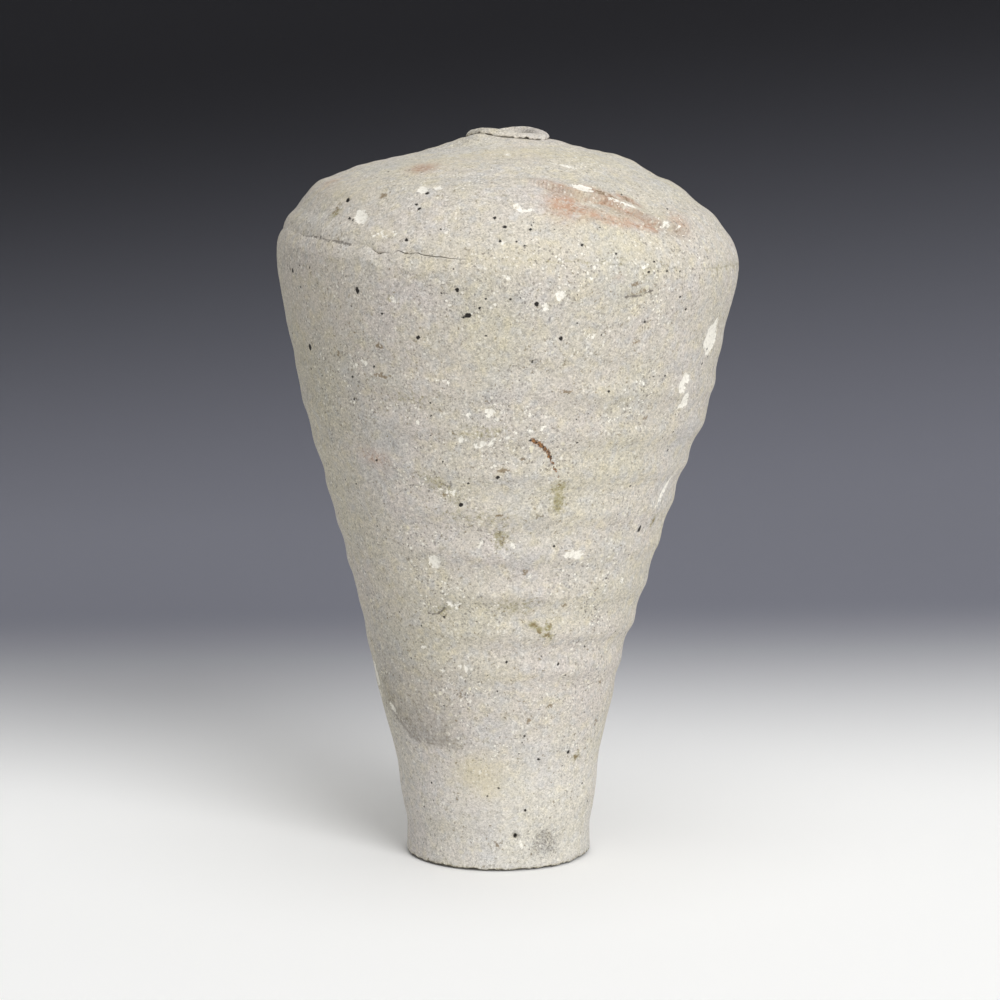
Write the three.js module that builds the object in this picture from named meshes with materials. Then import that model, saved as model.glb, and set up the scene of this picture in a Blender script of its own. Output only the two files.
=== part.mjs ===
// A mercury storage jar: a small, heavy stoneware bottle for quicksilver, with a narrow foot, a wall that
// opens upwards, a wide low shoulder and a mouth just wide enough to pour through.
// The potter threw it in courses and luted them rim to rim, so each course is a piece of its own.
// Millimetres, +Z up, origin in the middle of the underside. The jar's front faces -Y.
import * as THREE from "three";

// Heights of the courses, each measured from the joint below it
const baseThickness = 12.5;
const footWallHeight = 32.5;
const lowerBodyHeight = 113;
const upperBodyHeight = 69;
const capRise = 38;

// Outside diameters, from the foot up
const footDiameter = 68.8;
const ankleDiameter = 74.8;
const footJointDiameter = 79.6;
const coneDiameter = 114.6;
const waistDiameter = 142.8;
const beltDiameter = 160.4;
const shoulderDiameter = 169.4;
const haunchDiameter = 160;
const crownEdgeDiameter = 136;
const crownDiameter = 106;
const topDiameter = 80;
const lipDiameter = 31;
const throatDiameter = 14;

// Heights on the outline between the joints
const ankleAboveBase = 17.5;
const coneAboveFootJoint = 69;
const beltAboveWaist = 39;
const shoulderBelowJoint = 7;
const haunchAboveJoint = 7.8;
const crownEdgeAboveJoint = 20.6;
const crownAboveJoint = 27.6;
const topAboveJoint = 32.5;

// Thickness of the clay
const footWallThickness = 14.5;
const capThickness = 9.5;
const throatThickness = 2.8;

// Joints: the wet clay between two pieces, the pad inside the foot and the throat's reach below the cap
const luteGap = 0.3;
const floorPadRise = 4;
const spigotReach = 1.2;

// Edges
const footChamfer = 0.9;
const discShoulder = 0.8;
const floorPadRound = 5;

// Rolled lip: its rise above the cap, how far its rim is tucked in, and the side that it sags to
const lipRise = 3.3;
const lipTuck = 1.3;
const lipCrestInset = 3.6;
const lipSag = 1.9;
const lipSagAngle = THREE.MathUtils.degToRad(315);
const seatMargin = 0.7;
const seatRise = 1.7;

// Throwing rings: one spiral ridge left by the fingers, falling to the right across the front
const ringPitch = 15;
const ringDepth = 1.1;
const ringsFrom = 58;
const ringsTo = 194;
const ringFade = 34;
const ringPhase = THREE.MathUtils.degToRad(302);

// What the hand left uneven: the wall is a little oval, leans to the right and carries its cap askew
const ovality = 0.8;
const ovalAngle = THREE.MathUtils.degToRad(45);
const lean = 3.3;
const leanFrom = 85;
const leanTo = 175;
const capTilt = 2.7;
const seamTilt = 6;
const tiltFade = 34;

// Fineness of the solids
const segments = 48;
const footRows = 8;
const lowerRows = 38;
const upperRows = 19;
const capRows = 18;
const innerRows = 7;
const lipRows = 5;
const slopeStep = 0.5;

const turn = 2 * Math.PI;
const footRadius = footDiameter / 2;
const lipRadius = lipDiameter / 2;
const throatRadius = throatDiameter / 2;
const seatRadius = lipRadius + seatMargin;
const spigotRadius = throatRadius + throatThickness;
const holeRadius = spigotRadius + luteGap;
const footJoint = baseThickness + footWallHeight;
const waistJoint = footJoint + lowerBodyHeight;
const shoulderLevel = waistJoint + upperBodyHeight;
const seatHeight = shoulderLevel + capRise;
const { lerp, smoothstep } = THREE.MathUtils;
const at = (radius, height) => new THREE.Vector3(radius, height);

// The wall's outline: radius against height, a smooth curve through the named diameters.
const wallStations = [
  at(footRadius, baseThickness),
  at(ankleDiameter / 2, baseThickness + ankleAboveBase),
  at(footJointDiameter / 2, footJoint),
  at(coneDiameter / 2, footJoint + coneAboveFootJoint),
  at(waistDiameter / 2, waistJoint),
  at(beltDiameter / 2, waistJoint + beltAboveWaist),
  at(shoulderDiameter / 2, shoulderLevel - shoulderBelowJoint),
  at(haunchDiameter / 2, shoulderLevel + haunchAboveJoint),
];
const wallCurve = new THREE.CubicInterpolant(
  wallStations.map((station) => station.y),
  wallStations.map((station) => station.x),
  1,
  [0],
);

// The top of the jar is tipped: the same outline lies higher on the left than on the right.
function wallRadius(angle, height) {
  const tipped = smoothstep(height, shoulderLevel - tiltFade, shoulderLevel);
  return wallCurve.evaluate(height + tipped * capTilt * Math.cos(angle))[0];
}

// Ridge and groove of the throwing spiral, fading out towards the foot and the shoulder.
function ringRelief(angle, height) {
  const rising = smoothstep(height, ringsFrom, ringsFrom + ringFade);
  const fading = 1 - smoothstep(height, ringsTo - ringFade, ringsTo);
  return (ringDepth / 2) * rising * fading * Math.cos((turn * height) / ringPitch + angle - ringPhase);
}

function outOfRound(angle, height) {
  const grown = smoothstep(height, baseThickness, waistJoint) * (1 - smoothstep(height, waistJoint, seatHeight));
  return ovality * grown * Math.cos(2 * (angle - ovalAngle));
}

function outerRadius(angle, height) {
  return wallRadius(angle, height) + ringRelief(angle, height) + outOfRound(angle, height);
}

// The inside lies square to the skin and is smoother than it. The wall thins from the foot to the shoulder.
function innerPoint(angle, height) {
  const below = wallRadius(angle, height - slopeStep);
  const above = wallRadius(angle, height + slopeStep);
  const inward = at(-2 * slopeStep, above - below).normalize();
  const share = (height - baseThickness) / (shoulderLevel - baseThickness);
  const thickness = lerp(footWallThickness, capThickness, share);
  return at(wallRadius(angle, height), height).addScaledVector(inward, thickness);
}

// The cap was set on askew, so its seam falls from left to right.
function shoulderJoint(angle) {
  return shoulderLevel - seamTilt * Math.cos(angle);
}

function evenly(from, to, count) {
  return Array.from({ length: count + 1 }, (_, step) => lerp(from, to, step / count));
}

// Section of a wall course between two joints: up the outside, square across the rim and down the inside.
function wallSection(angle, foot, rim, rows) {
  const low = foot + luteGap / 2;
  const high = rim - luteGap / 2;
  const outside = evenly(low, high, rows).map((height) => at(outerRadius(angle, height), height));
  const inside = evenly(high, low, innerRows).map((height) => innerPoint(angle, height));
  return [...outside, ...inside, outside[0]];
}

// The disc carries a pad of clay, pressed down inside the foot wall to close the floor.
function baseDiscSection(angle) {
  const padRadius = innerPoint(angle, baseThickness + luteGap).x - luteGap;
  const padTop = baseThickness + floorPadRise;
  return [
    at(0, 0),
    at(footRadius - footChamfer, 0),
    at(footRadius, footChamfer),
    at(footRadius, baseThickness - discShoulder),
    at(footRadius - discShoulder, baseThickness),
    at(padRadius, baseThickness),
    at(padRadius, padTop - floorPadRise / 2),
    at(padRadius - floorPadRound, padTop),
    at(0, padTop),
  ];
}

// The foot wall stands level on the disc, round the pad.
function footWallSection(angle) {
  const section = wallSection(angle, baseThickness + luteGap / 2, footJoint, footRows);
  const heel = section[0];
  const bore = section[section.length - 2];
  return [...section.slice(0, -1), at(bore.x, heel.y), heel];
}

const lowerBodySection = (angle) => wallSection(angle, footJoint, waistJoint, lowerRows);
const upperBodySection = (angle) => wallSection(angle, waistJoint, shoulderJoint(angle), upperRows);

// Height of the flat cone on top of the cap that the lip lies on.
function seatAt(radius) {
  return seatHeight + (seatRise * (seatRadius - radius)) / (seatRadius - holeRadius);
}

// Outline of the cap from its seam over the haunch to the lip's seat, higher on the left.
function capCurve(angle) {
  const seam = shoulderJoint(angle) + luteGap / 2;
  const lift = -capTilt * Math.cos(angle);
  const outline = [
    at(outerRadius(angle, seam), seam),
    at(haunchDiameter / 2, shoulderLevel + haunchAboveJoint + lift),
    at(crownEdgeDiameter / 2, shoulderLevel + crownEdgeAboveJoint + lift),
    at(crownDiameter / 2, shoulderLevel + crownAboveJoint + lift / 2),
    at(topDiameter / 2, shoulderLevel + topAboveJoint),
    at(seatRadius, seatHeight),
  ];
  return new THREE.CatmullRomCurve3(outline, false, "centripetal");
}

// Section of the cap: over the dome, down the mouth hole, and back along the same curve one thickness inside.
function shoulderCapSection(angle) {
  const curve = capCurve(angle);
  const outside = evenly(0, 1, capRows).map((share) => curve.getPoint(share));
  const inside = evenly(1, 1 / innerRows, innerRows - 1).map((share) => {
    const along = curve.getTangent(share);
    return curve.getPoint(share).addScaledVector(at(-along.y, along.x), capThickness);
  });
  return [
    ...outside,
    at(holeRadius, seatAt(holeRadius)),
    at(holeRadius, seatAt(holeRadius) - capThickness),
    ...inside,
    innerPoint(angle, shoulderJoint(angle) + luteGap / 2),
    outside[0],
  ];
}

// Section of the lip: a flattened roll that lies on the cap, and a throat that passes through the hole.
function mouthRingSection(angle) {
  const rimRadius = lipRadius - lipTuck;
  const underside = at(rimRadius, seatAt(rimRadius) + luteGap);
  const sag = lipSag * Math.max(0, Math.cos(angle - lipSagAngle)) ** 2;
  const crestHeight = seatAt(holeRadius) + lipRise - sag;
  const crest = at(lipRadius - lipCrestInset, crestHeight);
  const roll = new THREE.CubicBezierCurve3(
    underside,
    at(lipRadius + lipTuck / 2, underside.y + luteGap),
    at(lipRadius, crestHeight),
    crest,
  );
  const throatTop = at(throatRadius, seatAt(holeRadius) - luteGap);
  const funnel = new THREE.QuadraticBezierCurve3(crest, at(throatRadius, crestHeight), throatTop);
  const spigotEnd = seatAt(holeRadius) - capThickness - spigotReach;
  return [
    ...roll.getPoints(lipRows),
    ...funnel.getPoints(lipRows).slice(1),
    at(throatRadius, spigotEnd),
    at(spigotRadius, spigotEnd),
    at(spigotRadius, seatAt(spigotRadius) + luteGap),
    underside,
  ];
}

// A piece turned on the wheel: its section is carried round the axis, changing with the angle, and then leans.
function turnedPiece(name, sectionAt, colour) {
  const rows = sectionAt(0).length;
  const geometry = new THREE.LatheGeometry(sectionAt(0), segments);
  const position = geometry.attributes.position;
  for (let step = 0; step <= segments; step += 1) {
    const angle = (turn * (step % segments)) / segments;
    sectionAt(angle).forEach((point, row) => {
      const shift = lean * smoothstep(point.y, leanFrom, leanTo);
      const x = point.x * Math.cos(angle) + shift;
      position.setXYZ(step * rows + row, x, point.x * Math.sin(angle), point.y);
    });
  }
  geometry.computeVertexNormals();
  const clay = new THREE.MeshStandardMaterial({ color: colour, roughness: 0.95, metalness: 0 });
  const mesh = new THREE.Mesh(geometry, clay);
  mesh.name = name;
  return mesh;
}

const jar = new THREE.Group();
jar.name = "mercury_storage_jar";
jar.add(
  turnedPiece("base_disc", baseDiscSection, "#aca595"),
  turnedPiece("foot_wall", footWallSection, "#b3ac9e"),
  turnedPiece("lower_body", lowerBodySection, "#b1aa9b"),
  turnedPiece("upper_body", upperBodySection, "#b4aea2"),
  turnedPiece("shoulder_cap", shoulderCapSection, "#b9b3a3"),
  turnedPiece("mouth_ring", mouthRingSection, "#c0bbab"),
);

export default jar;
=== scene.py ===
import math
import bpy
import numpy as np
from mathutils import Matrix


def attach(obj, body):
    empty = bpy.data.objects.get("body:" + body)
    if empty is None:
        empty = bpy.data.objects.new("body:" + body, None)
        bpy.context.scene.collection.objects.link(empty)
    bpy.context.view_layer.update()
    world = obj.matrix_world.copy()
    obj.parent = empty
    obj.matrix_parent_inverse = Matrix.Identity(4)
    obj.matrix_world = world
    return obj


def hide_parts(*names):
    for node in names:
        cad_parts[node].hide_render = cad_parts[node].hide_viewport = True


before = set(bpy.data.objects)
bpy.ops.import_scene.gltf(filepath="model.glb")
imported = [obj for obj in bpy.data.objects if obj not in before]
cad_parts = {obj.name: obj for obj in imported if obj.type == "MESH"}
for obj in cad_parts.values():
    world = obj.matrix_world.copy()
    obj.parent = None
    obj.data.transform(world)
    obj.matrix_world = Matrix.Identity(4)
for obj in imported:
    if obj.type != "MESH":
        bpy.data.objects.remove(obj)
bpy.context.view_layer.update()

toMetres = 0.001  # sizes are in millimetres, apart from the studio's
upright = np.array([0, 0, 1])  # angles run in degrees from +X, and 270 is the front


# eased step from 0 to 1 between two levels
def ease(value, low, high):
    share = np.clip((value - low) / (high - low), 0, 1)
    return share * share * (3 - 2 * share)


# eased up between the first two levels and down again between the last two
def between(value, span):
    return ease(value, *span[:2]) * (1 - ease(value, *span[2:]))


# bell curve, 1 in the middle and e^-1 at the given reach
def bell(value, reach):
    return np.exp(-(value / reach) ** 2)


# angle from a middle, the short way round
def fromAngle(angle, middle):
    return (angle - middle + 180) % 360 - 180


# unit vectors that point away from the jar's axis
def outward(angle):
    return np.stack([np.cos(np.radians(angle)), np.sin(np.radians(angle)), 0 * angle], axis=-1)


# cubic pieces through given stations, each slope taken from the stations on both sides
def curveThrough(stations, at):
    table = np.array(stations, float)
    knot, level = table[:, 0], table[:, 1:]
    slope = np.gradient(level, knot, axis=0)
    at = np.asarray(at, float)
    i = np.clip(np.searchsorted(knot, at, side="right") - 1, 0, len(knot) - 2)
    span = knot[i + 1] - knot[i]
    t = np.clip((at - knot[i]) / span, 0, 1)
    weights = ((1 + 2 * t) * (1 - t) ** 2, t * (1 - t) ** 2 * span,
               t * t * (3 - 2 * t), t * t * (t - 1) * span)
    a, b, c, d = (w[..., None] for w in weights)
    result = a * level[i] + b * slope[i] + c * level[i + 1] + d * slope[i + 1]
    return result[..., 0] if level.shape[1] == 1 else result


# the same curve closed round the jar
def curveRound(stations, angle):
    table = [(a + turn, v) for turn in (-360, 0, 360) for a, v in stations]
    return curveThrough(table, np.asarray(angle) % 360)


latticeHash = {
    "shift": 4096.0,  # keeps the lattice's numbers above nought
    "axes": np.array([73856093, 19349663, 83492791], np.uint64),
    "seed": 2654435761,
    "word": 4294967296,
    "stirs": [(15, 2246822519), (13, 3266489917)],
    "lastStir": 16,
    "levels": 65535,
}


# whole numbers stirred into random ones: each takes in its own high bits and is multiplied, twice over
def stirred(key):
    for shift, factor in latticeHash["stirs"]:
        key = (key ^ (key >> np.uint64(shift))) * np.uint64(factor) & np.uint64(latticeHash["word"] - 1)
    return key ^ (key >> np.uint64(latticeHash["lastStir"]))


# random values on a lattice of the given size, eased between its eight corners, from -1 to 1
def clayNoise(points, size, seed):
    cell = points / size + latticeHash["shift"]
    low = np.floor(cell)
    t = ease(cell - low, 0, 1)
    low = low.astype(np.uint64)
    seedKey = np.uint64(seed * latticeHash["seed"] % latticeHash["word"])
    total = np.zeros(points.shape[:-1])
    for corner in range(8):
        step = np.array([corner >> axis & 1 for axis in range(3)], np.uint64)
        key = (low + step) * latticeHash["axes"]
        key = stirred(key[..., 0] ^ key[..., 1] ^ key[..., 2] ^ seedKey)
        value = (key & np.uint64(latticeHash["levels"])).astype(float) / (latticeHash["levels"] / 2) - 1
        total += value * np.prod(np.where(step > 0, t, 1 - t), axis=-1)
    return total


# layers of clay noise added up, each a height, a size and a seed
def clayLayers(points, layers):
    return sum(height * clayNoise(points, size, seed) for height, size, seed in layers)


# the outer skin that the five stacked courses share
skinForm = {
    "segments": 600,
    "frontCrowding": 0.4,  # columns stand closer together at the front
    "rows": {"base_disc": 27, "foot_wall": 52, "lower_body": 130, "upper_body": 100, "shoulder_cap": 124},
    "groundCrowding": 1.6,  # rows stand closer together at the ground, at the seam and on the dome's edge
    "seamCrowding": 1.35,
    "domeCrowding": 1.3,
    "baseTop": 12.5,
    "footTop": 45.0,
    "waist": 158.0,
    # height, radius of the wall
    "wall": [
        (0, 33.6), (0.6, 34.0), (4, 34.2), (12.5, 34.4), (19, 35.7), (26, 36.8), (33, 37.4), (38, 38.2),
        (45, 39.8), (52, 41.5), (61, 43.6), (79, 47.9), (97, 52.9), (115, 57.8), (133, 63.2), (151, 69.2),
        (160, 72.2), (169, 74.7), (178, 76.7), (196, 80.2), (205, 82.0), (213, 83.5), (219, 84.1), (224, 84.1),
        (228, 83.3), (231, 82.0), (237, 78.6),
    ],
    # height, how far the axis has moved to the right
    "drift": [
        (0, 0.3), (20, 0.2), (40, -0.2), (65, -0.8), (85, -0.3), (100, 0.4), (130, 1.4), (150, 2.2), (165, 3.1),
        (200, 3.3), (280, 3.3),
    ],
    # angle, height of the shoulder seam
    "seam": [
        (0, 220.8), (45, 222.5), (90, 227), (135, 231), (180, 233.6), (195.8, 233.9), (208.5, 232.6),
        (215.9, 232.0), (221.4, 231.4), (226, 230.8), (230, 230.4), (235.1, 230.1), (236.4, 229.2),
        (237.2, 228.4), (239.4, 228.2), (241.8, 228.4), (243, 229.2), (244.9, 228.6), (246.6, 228.3),
        (247.9, 228.8), (250.2, 228.2), (255, 227.3), (259.7, 226.7), (263.6, 226.4), (275, 226.3),
        (291, 225.4), (306, 223.2), (320, 221.8),
    ],
    "seamRadius": 60,
    "seamWander": [(0.4, 7, 31), (0.3, 2.6, 32)],
    # share of the dome, then radius and height on the left, radius and height on the right
    "dome": [
        (0, 82.5, 233.2, 84.8, 221), (0.075, 80.1, 237.6, 83.0, 227.6), (0.14, 77.2, 240.6, 79.6, 232.8),
        (0.21, 73.6, 245.3, 75.0, 238.8), (0.265, 71.3, 248.4, 70.6, 242.1), (0.32, 68.3, 250.6, 66.0, 246.2),
        (0.4, 62.5, 252.9, 61.4, 249.9), (0.49, 55.5, 255.6, 54.4, 252.8), (0.58, 49.3, 257.3, 47.6, 256.4),
        (0.67, 42.0, 259.0, 42.0, 258.6), (0.79, 33.0, 260.9, 33.0, 261.0), (0.9, 24.0, 263.4, 24.0, 263.4),
        (0.97, 17.4, 265.2, 17.4, 265.2), (1, 14.4, 265.5, 14.4, 265.5),
    ],
    "domeSettle": 0.2,  # by this share the dome has left the seam's own line
    "shoulderTilt": 2.7,  # the shoulder stands higher on the left
    "tiltHeights": (193, 227),
    "ovalness": 0.8,
    "ovalAngle": 45,
    "ovalHeights": (12.5, 158, 158, 233),
    # angle, how far the dome lifts to meet the lip
    "seatRise": [
        (0, 0.2), (90, 0.3), (150, 0.4), (180, 0.5), (205, 1.0), (231, 2.1), (243, 1.7), (267, 0.9), (291, 0.4),
        (312, -0.1),
    ],
    "seatReach": (22, 15.5),
    "mouthAxis": 3.3,  # how far the mouth's axis stands to the right
    "footGap": 0.45,  # the worn foot edge stands clear of the ground
    "footWear": 2.0,
    "footUndercut": (-0.16, 0.12),
    "footFlat": 0.6,
}


# angles of the columns: an even count bunched towards the front by a cosine
def columnAngles():
    even = np.linspace(0, 2 * np.pi, skinForm["segments"], endpoint=False)
    return np.degrees(even - skinForm["frontCrowding"] * np.cos(even))


# smooth skin: the wall is a radius carried up the leaning axis, the dome a left and a right profile blended by angle
def bareSkin():
    form, rows = skinForm, skinForm["rows"]
    names = list(rows)
    angle = columnAngles()[None, :]
    cosine, sine = np.cos(np.radians(angle)), np.sin(np.radians(angle))
    seam = curveRound(form["seam"], angle) + clayLayers(form["seamRadius"] * outward(angle), form["seamWander"])
    levels = [0, form["baseTop"], form["footTop"], form["waist"]]
    steps = [np.linspace(low, high, rows[n], endpoint=False) for low, high, n in zip(levels, levels[1:], names)]
    steps[0] = form["baseTop"] * (steps[0] / form["baseTop"]) ** form["groundCrowding"]
    climb = 1 - np.linspace(1, 0, rows["upper_body"] + 1)[:, None] ** form["seamCrowding"]
    upper = form["waist"] + climb * (seam - form["waist"])
    height = np.concatenate([np.concatenate(steps)[:, None] + 0 * angle, upper])
    lift = ease(height, *form["tiltHeights"]) * form["shoulderTilt"] * cosine
    oval = form["ovalness"] * between(height, form["ovalHeights"])
    radius = curveThrough(form["wall"], height + lift)
    radius = radius + oval * np.cos(np.radians(2 * (angle - form["ovalAngle"])))
    share = np.linspace(0, 1, rows["shoulder_cap"] + 1)[1:] ** form["domeCrowding"]
    left = 0.5 - 0.5 * cosine
    # the dome starts on the wall's own edge and settles into its profiles
    _, leftRadius, leftHeight, rightRadius, rightHeight = form["dome"][0]
    settle = (1 - ease(share, 0, form["domeSettle"]))[:, None]
    sides = curveThrough(form["dome"], share)[:, None, :]
    domeRadius = sides[..., 2] + (sides[..., 0] - sides[..., 2]) * left
    domeRadius = domeRadius + settle * (radius[-1] - rightRadius - (leftRadius - rightRadius) * left)
    domeHeight = sides[..., 3] + (sides[..., 1] - sides[..., 3]) * left
    domeHeight = domeHeight + settle * (height[-1] - rightHeight - (leftHeight - rightHeight) * left)
    outer, inner = form["seatReach"]
    domeHeight = domeHeight + curveRound(form["seatRise"], angle) * ease(-domeRadius, -outer, -inner)
    radius = np.concatenate([radius, domeRadius])
    height = np.concatenate([height, domeHeight])
    drift = curveThrough(form["drift"], height)
    point = np.stack([radius * cosine + drift, radius * sine, height], axis=-1)
    starts = np.concatenate([[0], np.cumsum([rows[n] for n in names])])
    return angle[0], point, dict(zip(names, zip(starts, starts[1:])))


# outward normals from the differences along both directions of the grid
def gridNormals(point):
    across = np.roll(point, -1, axis=1) - np.roll(point, 1, axis=1)
    along = np.gradient(point, axis=0)
    normal = np.cross(across, along)
    return normal / np.linalg.norm(normal, axis=-1, keepdims=True)


columnAngle, bare, courseRows = bareSkin()
bareNormal = gridNormals(bare)
print("bare skin", bare.shape)


# the skin point at an angle and height, with its directions across, up and outwards
def spotOnSkin(angle, height):
    col = int(np.argmin(np.abs(fromAngle(columnAngle, angle))))
    row = int(np.argmin(np.abs(bare[:, col, 2] - height)))
    normal = bareNormal[row, col]
    across = np.cross(upright, normal)
    across = across / np.linalg.norm(across)
    return bare[row, col], across, np.cross(normal, across), normal


# square of the elliptic distance from a spot: 1 where the skin is a whole length or width away
def ellipseFrom(angle, height, length, width, tilt):
    middle, across, up, normal = spotOnSkin(angle, height)
    away = bare - middle
    u, v, w = away @ across, away @ up, away @ normal
    c, s = math.cos(math.radians(tilt)), math.sin(math.radians(tilt))
    return ((u * c + v * s) / length) ** 2 + ((v * c - u * s) / width) ** 2 + (w / (length + width)) ** 2


# depth in mm inside the nearest of many ellipses: half the width less the elliptic distance
def spotField(spots):
    field = np.full(bare.shape[:2], blankField["limeScar"])
    for angle, height, length, width, tilt in spots:
        far = np.sqrt(ellipseFrom(angle, height, length, width, tilt))
        field = np.maximum(field, (0.5 - far) * min(length, width))
    return field


# the strongest of many soft patches, each a bell over its ellipse that is e^-1 at half its length or width
def patchField(patches):
    field = np.zeros(bare.shape[:2])
    for *ellipse, strength in patches:
        field = np.maximum(field, strength * np.exp(-4 * ellipseFrom(*ellipse)))
    return field


# distance in mm from a line of points on the skin, and the same with its sign: + above the line, - below it
def lineField(path):
    spots = [spotOnSkin(a, h) for a, h in path]
    near = np.full(bare.shape[:2], np.inf)
    side = np.zeros(bare.shape[:2])
    for (p, _, _, n), (q, _, _, _) in zip(spots, spots[1:]):
        along = q - p
        t = np.clip((bare - p) @ along / (along @ along), 0, 1)
        away = bare - p - t[..., None] * along
        far = np.linalg.norm(away, axis=-1)
        closer = far < near
        near = np.where(closer, far, near)
        side = np.where(closer, away @ np.cross(n, along), side)
    return near, np.where(side < 0, -near, near)


# what each mark's field holds where there is no mark
blankField = {
    "limeScar": -4.0, "ironSpotAndPinholeShade": -4.0, "crackAndShadowLine": 4.0, "rustLine": 4.0, "blush": 0.0, "olive": 0.0,
    "ochre": 0.0, "ash": 0.0, "crumb": 0.0, "scorch": 0.0, "stain": 0.0, "paintedShade": 0.0,
}

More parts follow.
